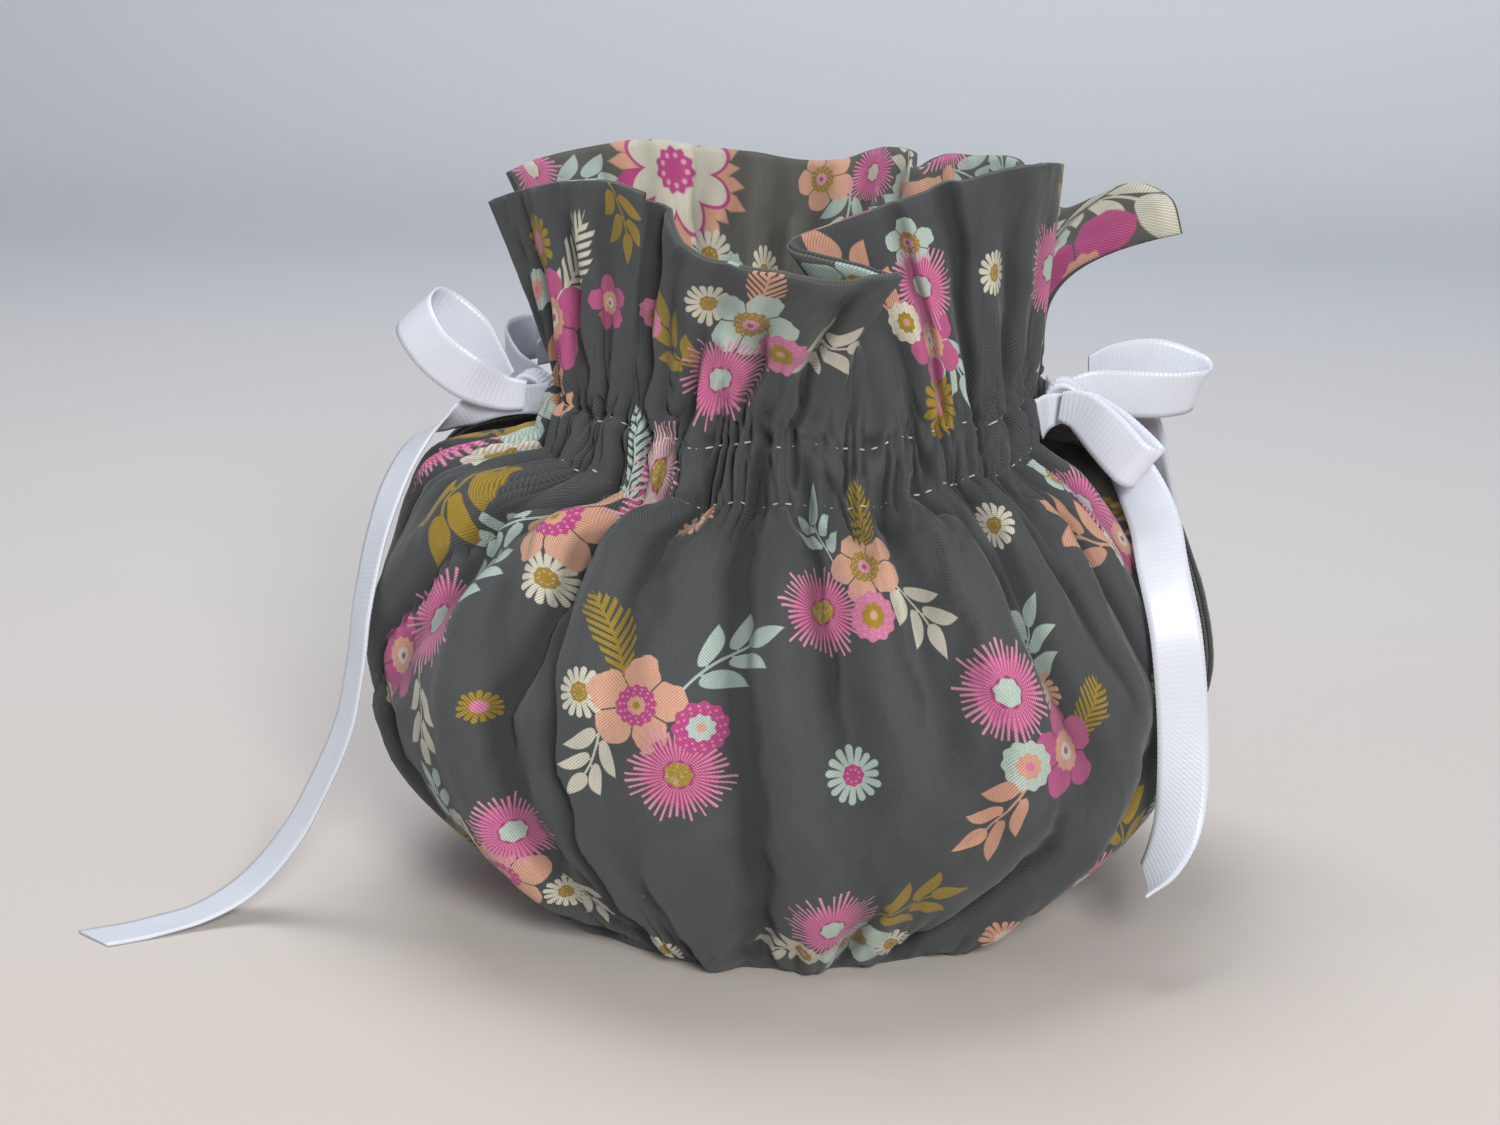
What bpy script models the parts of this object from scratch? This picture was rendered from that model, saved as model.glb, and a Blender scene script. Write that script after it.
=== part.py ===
"""Gathered tea cosy: two lined cloth panels, drawn in at the neck and hem, tied with ribbon at both sides.

Lengths in the tables are millimetres. The spout side is -X, the handle side is +X,
the front panel faces -Y, and the hem rests on z = 0.
"""

import bpy
import bmesh
import numpy as np
from mathutils import Vector

MM = 0.001

# Thickness of the cloth and the ribbon, the gap from the middle surface to each layer of a panel,
# and the height under which cloth is pressed flat on the floor.
CLOTH = 1.0
RIBBON = 1.0
LAYER_GAP = 0.3
HEM_FLAT = 0.35

# Smallest distance between two columns of a panel, as a part of half its width.
COLUMN_SPACING = 0.034

KNOT_SIZE = (8.4, 8.0, 8.6)
KNOT_ROUNDING = 0.3

# From the middle of the hem to the middle of the whole part, with its ribbon tails.
ORIGIN_SHIFT = (24.95, 0.0)

# Cross sections of a panel, from the hem up to the top of the neck casing.
# reach: how far the section goes to the spout, to the handle and to the middle of the panel.
# gap: how far the panel's side edge stays from the middle plane, on the spout and the handle side.
# rise: how much higher the section runs at the sides than in the middle.
SECTION_COLUMNS = ("height", "spout", "handle", "middle", "spout_gap", "handle_gap", "rise")
FRONT_SECTIONS = (
    ("hem inner edge", 1.15, 46.5, 47.0, 46.5, 0.25, 0.25, 0.0),
    ("hem outer edge", 1.15, 51.5, 52.0, 51.5, 0.25, 0.25, 0.0),
    ("hem turn", 3.6, 57.0, 57.5, 56.5, 0.25, 0.25, 0.3),
    ("under belly", 9.5, 65.0, 64.5, 62.0, 0.25, 0.25, 0.5),
    ("lower belly", 17.5, 74.5, 72.5, 68.0, 0.25, 0.25, 0.5),
    ("low belly", 27.5, 83.0, 79.5, 74.0, 0.25, 0.25, 0.0),
    ("belly", 38.0, 88.0, 82.5, 77.5, 0.25, 0.25, 0.0),
    ("widest", 49.0, 89.5, 81.5, 79.0, 0.25, 7.0, 0.0),
    ("high belly", 60.5, 88.0, 78.5, 78.5, 0.25, 13.0, 0.0),
    ("chest", 72.0, 85.0, 74.0, 75.5, 0.25, 17.0, 1.0),
    ("shoulder", 82.5, 80.5, 68.5, 69.5, 4.0, 19.0, 2.0),
    ("upper shoulder", 90.5, 73.0, 61.0, 61.5, 9.0, 19.0, 4.0),
    ("casing foot", 95.0, 51.5, 52.0, 52.0, 11.0, 17.0, 5.5),
    ("casing top", 105.5, 46.5, 50.0, 49.5, 12.0, 14.0, 4.0),
)
BACK_SECTIONS = (
    ("hem inner edge", 1.15, 46.5, 47.0, 46.0, 0.25, 0.25, 0.0),
    ("hem outer edge", 1.15, 51.5, 52.0, 51.0, 0.25, 0.25, 0.0),
    ("hem turn", 3.6, 57.0, 57.5, 56.0, 0.25, 0.25, 0.3),
    ("under belly", 9.5, 65.0, 64.5, 62.0, 0.25, 0.25, 0.5),
    ("lower belly", 17.5, 74.5, 72.5, 68.5, 0.25, 0.25, 0.5),
    ("low belly", 27.5, 83.0, 79.5, 74.5, 0.25, 0.25, 0.0),
    ("belly", 38.0, 88.0, 84.5, 77.5, 0.25, 0.25, 0.0),
    ("widest", 49.0, 89.5, 87.5, 78.5, 0.25, 5.0, 0.0),
    ("high belly", 60.5, 88.0, 86.0, 77.5, 0.25, 9.0, 0.0),
    ("chest", 72.0, 85.0, 82.0, 74.5, 0.25, 12.0, 1.0),
    ("shoulder", 82.5, 80.5, 76.5, 68.5, 4.0, 14.0, 2.0),
    ("upper shoulder", 90.5, 73.0, 70.0, 60.5, 8.0, 14.0, 4.0),
    ("casing foot", 95.0, 51.5, 52.5, 51.0, 10.0, 12.0, 5.5),
    ("casing top", 105.5, 46.5, 50.0, 48.0, 10.0, 11.0, 4.0),
)

# Turns of the standing frill's top edge. across runs from -1 at the spout side to 1 at the
# handle side. lean is 1 for a straight slope up from the casing, and more for cloth that
# stands first and leans out near its edge.
RIM_COLUMNS = ("across", "x", "y", "z", "lean")
FRONT_RIM = (
    ("spout corner", -1.00, -57.5, -22.0, 147.5, 1.1),
    ("spout side", -0.82, -49.5, -33.0, 150.5, 1.1),
    ("first crest", -0.64, -38.5, -42.5, 153.5, 1.1),
    ("crest end", -0.50, -27.5, -50.0, 154.5, 1.0),
    ("valley lip", -0.41, -19.5, -54.5, 152.5, 1.0),
    ("deep valley", -0.34, -16.5, -51.5, 149.5, 1.0),
    ("valley climb", -0.28, -13.0, -60.0, 146.0, 1.2),
    ("low front", -0.18, -6.0, -66.5, 143.0, 1.4),
    ("front bulge", -0.06, 4.5, -71.5, 141.5, 1.5),
    ("front lip", 0.06, 17.0, -74.0, 140.2, 1.5),
    ("fold start", 0.14, 26.0, -73.0, 140.2, 1.6),
    ("first turn", 0.20, 31.0, -68.8, 141.0, 1.9),
    ("fold middle", 0.28, 20.0, -62.5, 142.8, 2.2),
    ("second turn", 0.36, 8.5, -56.5, 145.0, 2.2),
    ("inner layer", 0.43, 15.0, -51.0, 147.5, 1.9),
    ("handle rise", 0.56, 27.0, -47.5, 151.5, 1.3),
    ("shallow valley", 0.68, 37.0, -42.0, 154.5, 1.0),
    ("second crest", 0.78, 44.5, -40.5, 156.5, 1.0),
    ("corner bend", 0.92, 53.5, -30.0, 157.5, 0.9),
    ("handle corner", 1.00, 55.0, -20.0, 156.6, 0.8),
)
BACK_RIM = (
    ("spout corner", -1.00, -62.5, 10.0, 149.8, 1.2),
    ("spout side", -0.86, -60.0, 22.0, 151.0, 1.2),
    ("first crest", -0.70, -50.0, 36.0, 152.8, 1.0),
    ("crest end", -0.54, -38.5, 43.5, 153.8, 1.0),
    ("shallow valley", -0.42, -29.5, 45.5, 152.5, 1.0),
    ("low back", -0.28, -19.0, 53.5, 150.5, 1.0),
    ("back dip", -0.12, -6.0, 55.5, 148.6, 1.0),
    ("small valley", -0.01, 2.5, 50.5, 149.5, 1.0),
    ("back crest", 0.12, 12.5, 52.0, 152.2, 1.0),
    ("fold lip", 0.21, 19.5, 46.5, 151.8, 1.0),
    ("fold valley", 0.28, 21.0, 37.5, 149.5, 1.0),
    ("fold climb", 0.35, 25.5, 43.5, 151.5, 1.0),
    ("third crest", 0.46, 33.5, 43.0, 151.6, 1.0),
    ("handle side", 0.57, 43.0, 34.0, 152.0, 1.0),
    ("corner valley", 0.67, 48.5, 23.5, 147.5, 1.2),
    ("flap root", 0.76, 54.0, 16.5, 143.8, 1.8),
    ("flap rise", 0.83, 61.5, 12.0, 147.3, 2.4),
    ("flap top", 0.89, 69.5, 7.0, 150.2, 3.0),
    ("flap bend", 0.945, 76.0, 2.8, 147.5, 3.6),
    ("flap tip", 1.00, 78.2, 0.8, 141.0, 4.2),
)
FRILL_HEIGHTS = (0.16, 0.42, 0.72, 1.0)

# Gathers drawn in by the neck casing: place across the panel and depth.
GATHER_COLUMNS = ("across", "depth")
FRONT_GATHERS = (
    (-0.91, 2.4), (-0.78, 3.0), (-0.64, 2.6), (-0.50, 3.6), (-0.41, 3.0), (-0.28, 3.4),
    (-0.12, 3.4), (0.00, 2.8), (0.14, 3.4), (0.24, 1.6), (0.32, 2.2), (0.43, 3.4),
    (0.56, 3.2), (0.68, 3.2), (0.80, 2.6), (0.92, 2.0),
)
BACK_GATHERS = (
    (-0.89, 1.8), (-0.76, 2.6), (-0.63, 2.0), (-0.50, 3.0), (-0.37, 2.2), (-0.25, 3.4),
    (-0.11, 2.4), (0.02, 3.0), (0.16, 2.4), (0.28, 3.2), (0.40, 2.2), (0.53, 3.0),
    (0.66, 2.4), (0.79, 2.8), (0.90, 1.8),
)

# Width of a gather at the casing, how much wider and deeper it gets away from it, and how many
# sections it reaches below the casing's foot and above its top.
GATHER_WIDTH = 0.042
GATHER_SPREAD = 0.5
GATHER_GROWTH = 1.6
GATHER_REACH_DOWN = 4.2
GATHER_REACH_UP = 4.6
CASING_FOOT = 12.0
CASING_TOP = 13.0

# Creases and soft folds of the body: where each starts and ends (place across the panel and
# section number, counted from the hem), how deep it is (below zero for a ridge) and how wide.
FOLD_COLUMNS = ("across_low", "section_low", "across_high", "section_high", "depth", "width")
FRONT_FOLDS = (
    ("long crease", -0.27, 2.0, -0.37, 9.5, 4.6, 0.045),
    ("ridge by the long crease", -0.35, 2.5, -0.45, 9.0, -3.4, 0.055),
    ("overlapped fold", -0.34, 2.0, -0.60, 5.0, 3.6, 0.045),
    ("spout crease", -0.62, 3.5, -0.67, 7.0, 3.0, 0.05),
    ("far spout crease", -0.76, 3.5, -0.86, 6.5, 3.0, 0.05),
    ("shoulder fold", -0.60, 8.0, -0.36, 12.0, 4.2, 0.05),
    ("shoulder ridge", -0.72, 8.0, -0.56, 11.5, -3.0, 0.06),
    ("upper crease", -0.31, 8.5, -0.25, 12.0, 3.4, 0.045),
    ("upper ridge", -0.20, 8.0, -0.18, 11.5, -2.6, 0.05),
    ("middle fold", 0.02, 7.0, 0.02, 11.5, 3.0, 0.05),
    ("middle ridge", 0.09, 6.5, 0.10, 11.5, -3.0, 0.05),
    ("handle fold", 0.22, 7.0, 0.19, 11.5, 3.4, 0.05),
    ("second handle fold", 0.36, 7.5, 0.32, 11.5, 3.2, 0.045),
    ("handle ridge", 0.46, 7.0, 0.42, 11.5, -3.2, 0.06),
    ("third handle fold", 0.60, 7.0, 0.52, 11.5, 3.4, 0.05),
    ("low middle fold", 0.04, 2.0, 0.05, 7.0, 3.0, 0.05),
    ("low middle ridge", 0.13, 2.0, 0.14, 5.5, -2.6, 0.055),
    ("low handle fold", 0.36, 2.0, 0.50, 4.5, 3.6, 0.05),
    ("low side fold", 0.60, 2.0, 0.76, 6.0, 3.4, 0.05),
    ("low side ridge", 0.50, 2.0, 0.64, 5.5, -2.6, 0.06),
    ("low ridge", -0.08, 2.0, -0.10, 5.0, -2.6, 0.06),
)
BACK_FOLDS = (
    ("spout fold", -0.70, 2.0, -0.74, 6.5, 3.2, 0.05),
    ("low spout ridge", -0.56, 2.0, -0.60, 5.5, -2.8, 0.06),
    ("long fold", -0.40, 2.0, -0.48, 9.0, 4.0, 0.05),
    ("low middle fold", -0.12, 2.0, -0.18, 6.5, 3.4, 0.05),
    ("low middle ridge", -0.02, 2.0, -0.04, 5.5, -2.6, 0.06),
    ("low handle fold", 0.14, 2.0, 0.20, 6.0, 3.2, 0.05),
    ("handle crease", 0.42, 2.0, 0.54, 7.5, 4.0, 0.05),
    ("far handle fold", 0.70, 2.0, 0.78, 5.5, 3.0, 0.05),
    ("upper spout fold", -0.57, 7.5, -0.50, 11.5, 3.6, 0.05),
    ("upper long fold", -0.30, 6.5, -0.25, 11.5, 3.6, 0.05),
    ("upper middle ridge", -0.14, 7.5, -0.05, 11.5, -3.0, 0.06),
    ("upper middle fold", 0.06, 7.0, 0.02, 11.5, 3.4, 0.05),
    ("upper handle fold", 0.32, 7.0, 0.28, 11.5, 3.6, 0.05),
    ("upper handle ridge", 0.44, 7.5, 0.40, 11.5, -3.0, 0.06),
    ("far upper fold", 0.62, 7.5, 0.53, 11.5, 3.4, 0.05),
)
FOLD_FADE = 1.0
FOLD_FULLNESS = 0.6

# Puckers of the elastic hem: how many half waves cross a panel, how deep they are, the section
# where they are deepest, how many sections they fade over, and how far their spacing drifts.
HEM_PUCKERS = 17
HEM_PUCKER_DEPTH = 1.4
PUCKER_ROW = 2.6
PUCKER_SPREAD = 1.1
PUCKER_DRIFT = 0.8
PUCKER_DRIFT_TURNS = 7

# Below this section the hem lies flat, and this near its side edges a panel has no folds.
HEM_TURN = 1.5
CALM_EDGE = 0.06

# Routes of the ribbons: the middle of the ribbon, the direction of its width, and its width,
# which is drawn in at the knot.
RIBBON_COLUMNS = ("x", "y", "z", "across_x", "across_y", "across_z", "width")
SPOUT_TIE_FRONT = (
    (-49.4, -10.5, 104.5, 0.0, 0.0, 1.0, 9.0),
    (-51.0, -7.6, 104.6, 0.0, 0.0, 1.0, 7.0),
    (-55.0, -6.7, 104.4, 0.0, 0.0, 1.0, 6.0),
    (-61.5, -6.4, 103.4, 0.0, 0.0, 1.0, 6.0),
    (-67.0, -6.6, 101.6, 0.1, -0.3, 0.95, 6.5),
    (-71.8, -8.0, 99.4, 0.35, -0.7, 0.6, 8.0),
    (-76.2, -12.5, 97.0, 0.55, -0.80, 0.15, 10.0),
    (-79.2, -21.0, 90.0, 0.60, -0.80, 0.0, 10.0),
    (-81.0, -30.0, 80.0, 0.60, -0.80, 0.0, 10.0),
    (-82.8, -36.5, 66.0, 0.60, -0.80, 0.0, 10.0),
    (-84.3, -38.5, 52.0, 0.60, -0.80, 0.0, 10.0),
    (-88.0, -39.0, 38.0, 0.60, -0.80, 0.0, 10.0),
    (-97.5, -39.5, 19.5, 0.58, -0.80, -0.1, 10.0),
    (-107.0, -42.0, 7.5, 0.56, -0.82, -0.1, 10.0),
    (-116.0, -47.5, 2.0, 0.56, -0.83, 0.0, 10.0),
    (-125.0, -54.5, 0.5, 0.60, -0.80, 0.0, 10.0),
    (-135.5, -62.5, 0.5, 0.60, -0.80, 0.0, 10.0),
)
SPOUT_TIE_BACK = (
    (-49.2, 9.3, 104.5, 0.0, 0.0, 1.0, 9.0),
    (-51.0, 6.2, 104.6, 0.0, 0.0, 1.0, 7.0),
    (-55.0, 5.2, 104.0, 0.0, 0.0, 1.0, 6.0),
    (-59.5, 7.6, 102.6, 0.3, 0.1, 0.9, 6.0),
    (-63.0, 12.5, 102.4, 0.9, 0.1, 0.2, 7.5),
    (-67.0, 20.0, 101.8, 0.95, 0.2, 0.1, 10.0),
    (-72.5, 29.0, 96.5, 0.8, 0.6, 0.1, 10.0),
    (-77.6, 36.0, 84.5, 0.55, 0.83, 0.0, 10.0),
    (-81.8, 40.0, 68.0, 0.48, 0.87, 0.0, 10.0),
    (-83.2, 42.0, 52.0, 0.48, 0.87, 0.0, 10.0),
    (-81.7, 42.5, 37.0, 0.48, 0.87, 0.0, 10.0),
)
SPOUT_LOOP_FRONT = (
    (-55.0, -8.3, 105.6, 0.0, 0.0, 1.0, 6.0),
    (-60.0, -9.6, 106.4, 0.2, 0.0, 0.98, 7.5),
    (-66.5, -12.5, 110.0, 0.45, -0.1, 0.88, 10.0),
    (-73.5, -12.0, 115.0, 0.6, -0.1, 0.78, 10.0),
    (-78.6, -7.5, 120.2, 0.75, 0.0, 0.66, 10.0),
    (-79.6, -1.5, 122.4, 0.75, 0.0, 0.66, 10.0),
    (-76.6, 2.6, 121.4, 0.72, 0.1, 0.68, 10.0),
    (-70.0, 3.6, 116.0, 0.55, 0.1, 0.82, 10.0),
    (-64.5, 1.5, 110.0, 0.4, 0.0, 0.92, 8.0),
    (-61.0, -0.5, 106.8, 0.2, 0.0, 0.98, 6.0),
)
SPOUT_LOOP_BACK = (
    (-55.0, 3.5, 106.6, 0.0, 0.0, 1.0, 5.0),
    (-60.0, 5.2, 108.6, 0.0, 0.0, 1.0, 7.0),
    (-64.4, 12.0, 110.6, 0.0, 0.1, 0.99, 10.0),
    (-65.4, 20.0, 111.6, 0.0, 0.2, 0.97, 10.0),
    (-62.0, 25.6, 112.2, 0.0, 0.2, 0.97, 10.0),
    (-57.6, 24.0, 112.4, 0.0, 0.1, 0.99, 10.0),
    (-55.6, 16.5, 112.2, 0.0, 0.0, 1.0, 8.0),
    (-56.0, 7.0, 111.6, 0.0, 0.0, 1.0, 5.0),
)
HANDLE_TIE_FRONT = (
    (51.8, -12.6, 105.0, 0.0, 0.0, 1.0, 9.0),
    (53.6, -9.6, 106.2, 0.0, 0.0, 1.0, 7.0),
    (57.0, -8.1, 106.4, 0.0, 0.0, 1.0, 6.0),
    (62.0, -7.4, 104.5, 0.1, 0.0, 0.99, 6.5),
    (66.3, -8.0, 100.0, 0.5, -0.2, 0.8, 8.0),
    (71.2, -11.6, 93.5, 0.8, -0.25, 0.4, 9.5),
    (75.4, -18.8, 86.5, 0.93, 0.0, 0.25, 10.0),
    (77.6, -26.5, 79.0, 0.96, 0.12, 0.1, 10.0),
    (80.9, -32.0, 66.0, 0.97, 0.12, 0.0, 10.0),
    (83.0, -33.5, 46.0, 0.97, 0.10, 0.0, 10.0),
    (82.8, -36.0, 31.0, 0.96, 0.0, -0.1, 10.0),
    (79.6, -41.5, 22.5, 0.92, -0.15, -0.2, 10.0),
    (74.5, -48.0, 18.0, 0.88, -0.30, -0.3, 10.0),
)
HANDLE_TIE_BACK = (
    (51.8, 10.6, 105.0, 0.0, 0.0, 1.0, 9.0),
    (53.6, 5.4, 105.4, 0.0, 0.0, 1.0, 7.0),
    (57.0, 3.7, 104.6, 0.0, 0.0, 1.0, 6.0),
    (60.6, 6.0, 102.8, 0.3, -0.1, 0.9, 6.0),
    (63.2, 10.5, 102.6, 0.85, -0.3, 0.2, 7.0),
    (66.2, 20.0, 102.4, 0.95, -0.1, 0.1, 9.5),
    (70.4, 30.0, 97.6, 0.85, -0.45, 0.1, 10.0),
    (73.6, 37.0, 86.0, 0.72, -0.69, 0.0, 10.0),
    (78.0, 43.0, 68.0, 0.6, -0.8, 0.0, 10.0),
    (79.8, 45.5, 52.0, 0.55, -0.83, 0.0, 10.0),
    (77.8, 46.0, 38.0, 0.55, -0.83, 0.0, 10.0),
)
HANDLE_LOOP_FRONT = (
    (56.0, -11.4, 107.6, 0.0, 0.0, 1.0, 6.0),
    (60.5, -13.6, 106.8, 0.3, 0.0, 0.95, 8.5),
    (65.5, -17.4, 103.0, 0.6, -0.1, 0.8, 10.0),
    (70.5, -20.4, 98.6, 0.65, -0.1, 0.76, 10.0),
    (73.6, -18.8, 97.2, 0.65, 0.0, 0.76, 10.0),
    (71.8, -15.8, 98.8, 0.65, 0.0, 0.76, 10.0),
    (66.5, -12.8, 103.4, 0.55, 0.0, 0.84, 9.0),
    (61.5, -10.4, 106.6, 0.3, 0.0, 0.95, 7.5),
    (58.0, -9.7, 107.4, 0.0, 0.0, 1.0, 6.0),
)
HANDLE_LOOP_BACK = (
    (57.0, 2.1, 108.2, 0.0, 0.0, 1.0, 5.0),
    (62.0, 3.4, 108.4, 0.2, 0.0, 0.98, 8.0),
    (70.0, 7.2, 107.0, 0.4, 0.0, 0.92, 10.0),
    (78.5, 10.4, 106.6, 0.45, -0.1, 0.89, 10.0),
    (83.0, 13.4, 107.6, 0.45, -0.1, 0.89, 10.0),
    (81.5, 17.2, 109.4, 0.4, 0.0, 0.92, 10.0),
    (73.5, 16.8, 112.0, 0.2, 0.0, 0.98, 10.0),
    (65.0, 11.0, 112.6, 0.1, 0.0, 0.99, 8.0),
    (60.6, 6.4, 112.4, 0.0, 0.0, 1.0, 5.0),
)
RIBBONS = {
    "spout_tie_front": SPOUT_TIE_FRONT,
    "spout_tie_back": SPOUT_TIE_BACK,
    "spout_loop_front": SPOUT_LOOP_FRONT,
    "spout_loop_back": SPOUT_LOOP_BACK,
    "handle_tie_front": HANDLE_TIE_FRONT,
    "handle_tie_back": HANDLE_TIE_BACK,
    "handle_loop_front": HANDLE_LOOP_FRONT,
    "handle_loop_back": HANDLE_LOOP_BACK,
}
KNOTS = {
    "spout_knot": (-55.0, -1.5, 105.2),
    "handle_knot": (56.6, -3.0, 107.2),
}


def table(rows, columns):
    """The numbers of a table, one array for each named column. A first cell in words is only a label."""
    values = np.array([[cell for cell in row if not isinstance(cell, str)] for row in rows], float)
    return dict(zip(columns, values.T))


def glide(knots, values, at):
    """Smooth curve through the values at the knots (cubic Hermite), read at the places given."""
    slopes = np.gradient(values, knots)
    index = np.clip(np.searchsorted(knots, at) - 1, 0, len(knots) - 2)
    span = knots[index + 1] - knots[index]
    s = (at - knots[index]) / span
    rise = s * s * (3 - 2 * s)
    start = s * (1 - s) ** 2 * span
    end = s * s * (s - 1) * span
    between = values[index] * (1 - rise) + values[index + 1] * rise
    return between + slopes[index] * start + slopes[index + 1] * end


def section_ring(sections, index, side, across):
    """Points of one cross section: a quarter ellipse on each side of the panel's middle."""
    angle = across * np.pi / 2
    reach = np.where(across < 0, sections["spout"][index], sections["handle"][index])
    gap = np.where(across < 0, sections["spout_gap"][index], sections["handle_gap"][index])
    x = reach * np.sin(angle)
    y = side * (gap + (sections["middle"][index] - gap) * np.cos(angle))
    z = sections["height"][index] + sections["rise"][index] * np.sin(angle) ** 2
    return np.stack([x, y, z], axis=-1)


def frill_row(casing, edge, part):
    """Points of the frill at a part of its height, between the casing's top and the frill's edge."""
    sideways = part ** edge["lean"]
    x = casing[:, 0] + (edge["x"] - casing[:, 0]) * sideways
    y = casing[:, 1] + (edge["y"] - casing[:, 1]) * sideways
    z = casing[:, 2] + (edge["z"] - casing[:, 2]) * part
    return np.stack([x, y, z], axis=-1)


def base_surface(section_rows, rim_rows, side, across):
    """Middle surface of a panel before its gathers, as an array (row, column, xyz)."""
    sections = table(section_rows, SECTION_COLUMNS)
    rim = table(rim_rows, RIM_COLUMNS)
    edge = {name: glide(rim["across"], rim[name], across) for name in ("x", "y", "z", "lean")}
    rows = [section_ring(sections, index, side, across) for index in range(len(section_rows))]
    rows += [frill_row(rows[-1], edge, part) for part in FRILL_HEIGHTS]
    return np.array(rows)


def unit(vectors):
    """The vectors at length one."""
    return vectors / np.linalg.norm(vectors, axis=-1, keepdims=True)


def outward_normals(points, side):
    """Unit normals of the surface, pointing away from the pot."""
    along = np.gradient(points, axis=1)
    up = np.gradient(points, axis=0)
    return unit(np.cross(along, up) * -side)


def gather_depth(gathers, across, row):
    """Depth of the neck's gathers: narrow valleys at the casing that spread and fade away from it."""
    below = np.maximum(CASING_FOOT - row, 0) / GATHER_REACH_DOWN
    above = np.maximum(row - CASING_TOP, 0) / GATHER_REACH_UP
    away = below + above
    width = GATHER_WIDTH * (1 + GATHER_SPREAD * away)
    fade = np.clip(1 - away, 0, 1) * (1 + GATHER_GROWTH * away)
    gather = table(gathers, GATHER_COLUMNS)
    valleys = gather["depth"] * np.exp(-((across[..., None] - gather["across"]) / width[..., None]) ** 2)
    return valleys.sum(axis=-1) * fade


def fold_depth(folds, across, row):
    """Depth of the body's creases: each is a valley, or a ridge, along a line that fades at both ends."""
    fold = table(folds, FOLD_COLUMNS)
    along = (row[..., None] - fold["section_low"]) / (fold["section_high"] - fold["section_low"])
    length = fold["section_high"] - fold["section_low"] + 2 * FOLD_FADE
    progress = np.clip((row[..., None] - fold["section_low"] + FOLD_FADE) / length, 0, 1)
    fade = np.sin(np.pi * progress) ** FOLD_FULLNESS
    centre = fold["across_low"] + (fold["across_high"] - fold["across_low"]) * np.clip(along, 0, 1)
    valleys = np.exp(-((across[..., None] - centre) / fold["width"]) ** 2)
    return (fold["depth"] * fade * valleys).sum(axis=-1)


def hem_pucker(across, row):
    """Small waves that the hem's elastic draws in, strongest just above the floor."""
    strength = np.exp(-((row - PUCKER_ROW) / PUCKER_SPREAD) ** 2)
    drift = PUCKER_DRIFT * np.sin(PUCKER_DRIFT_TURNS * across)
    wave = np.cos(across * np.pi * HEM_PUCKERS + drift)
    return HEM_PUCKER_DEPTH * strength * (0.5 + 0.5 * wave)


def panel_surface(sections, rim, gathers, folds, side, across):
    """Middle surface of a panel with its gathers, folds and hem puckers."""
    points = base_surface(sections, rim, side, across)
    normal = outward_normals(points, side)
    row, place = np.meshgrid(np.arange(len(points), dtype=float), across, indexing="ij")
    depth = gather_depth(gathers, place, row) + fold_depth(folds, place, row) + hem_pucker(place, row)
    calm_edge = np.clip((1 - np.abs(place)) / CALM_EDGE, 0, 1)
    depth = np.where(row < HEM_TURN, 0, depth * calm_edge)
    return points - normal * depth[..., None]


def columns_for(rim, gathers):
    """Places across a panel that need a column: every turn of the rim, every gather and between gathers."""
    valleys = table(gathers, GATHER_COLUMNS)["across"]
    between = (valleys[1:] + valleys[:-1]) / 2
    kept = [-1.0, 1.0]
    for place in np.concatenate([table(rim, RIM_COLUMNS)["across"], valleys, between]):
        if min(abs(place - other) for other in kept) >= COLUMN_SPACING:
            kept.append(float(place))
    return np.sort(kept)


def shifted(points):
    """Points in metres, moved so that the origin is under the middle of the whole part."""
    return (points + np.array([ORIGIN_SHIFT[0], ORIGIN_SHIFT[1], 0])) * MM


def grid_object(name, points, collection):
    """A sheet object whose vertices are the points of a (row, column, xyz) array."""
    rows, columns = points.shape[:2]
    bm = bmesh.new()
    bmesh.ops.create_grid(bm, x_segments=rows - 1, y_segments=columns - 1, size=1)
    bm.verts.ensure_lookup_table()
    order = sorted(bm.verts, key=lambda v: (round(v.co.x, 5), round(v.co.y, 5)))
    for vertex, place in zip(order, points.reshape(-1, 3)):
        vertex.co = Vector(place)
    mesh = bpy.data.meshes.new(name)
    bm.to_mesh(mesh)
    bm.free()
    mesh.shade_smooth()
    sheet = bpy.data.objects.new(name, mesh)
    collection.objects.link(sheet)
    return sheet


def thicken(sheet, thickness, offset):
    """Give a sheet its thickness. offset is the side of the middle surface, from -1 to 1 and beyond."""
    solidify = sheet.modifiers.new("thickness", "SOLIDIFY")
    solidify.thickness = thickness * MM
    solidify.offset = offset
    solidify.use_quality_normals = True
    return sheet


def press_hem_flat(sheet):
    """Apply the sheet's thickness and lay everything close to the floor flat on it."""
    depsgraph = bpy.context.evaluated_depsgraph_get()
    mesh = bpy.data.meshes.new_from_object(sheet.evaluated_get(depsgraph))
    sheet.modifiers.clear()
    sheet.data = mesh
    for vertex in mesh.vertices:
        if vertex.co.z < HEM_FLAT * MM:
            vertex.co.z = 0.0


def material(name, colour, roughness):
    """A plain non-metal finish."""
    finish = bpy.data.materials.new(name)
    finish.use_nodes = True
    shader = finish.node_tree.nodes["Principled BSDF"]
    shader.inputs["Base Color"].default_value = (*colour, 1)
    shader.inputs["Roughness"].default_value = roughness
    shader.inputs["Metallic"].default_value = 0.0
    return finish


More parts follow.
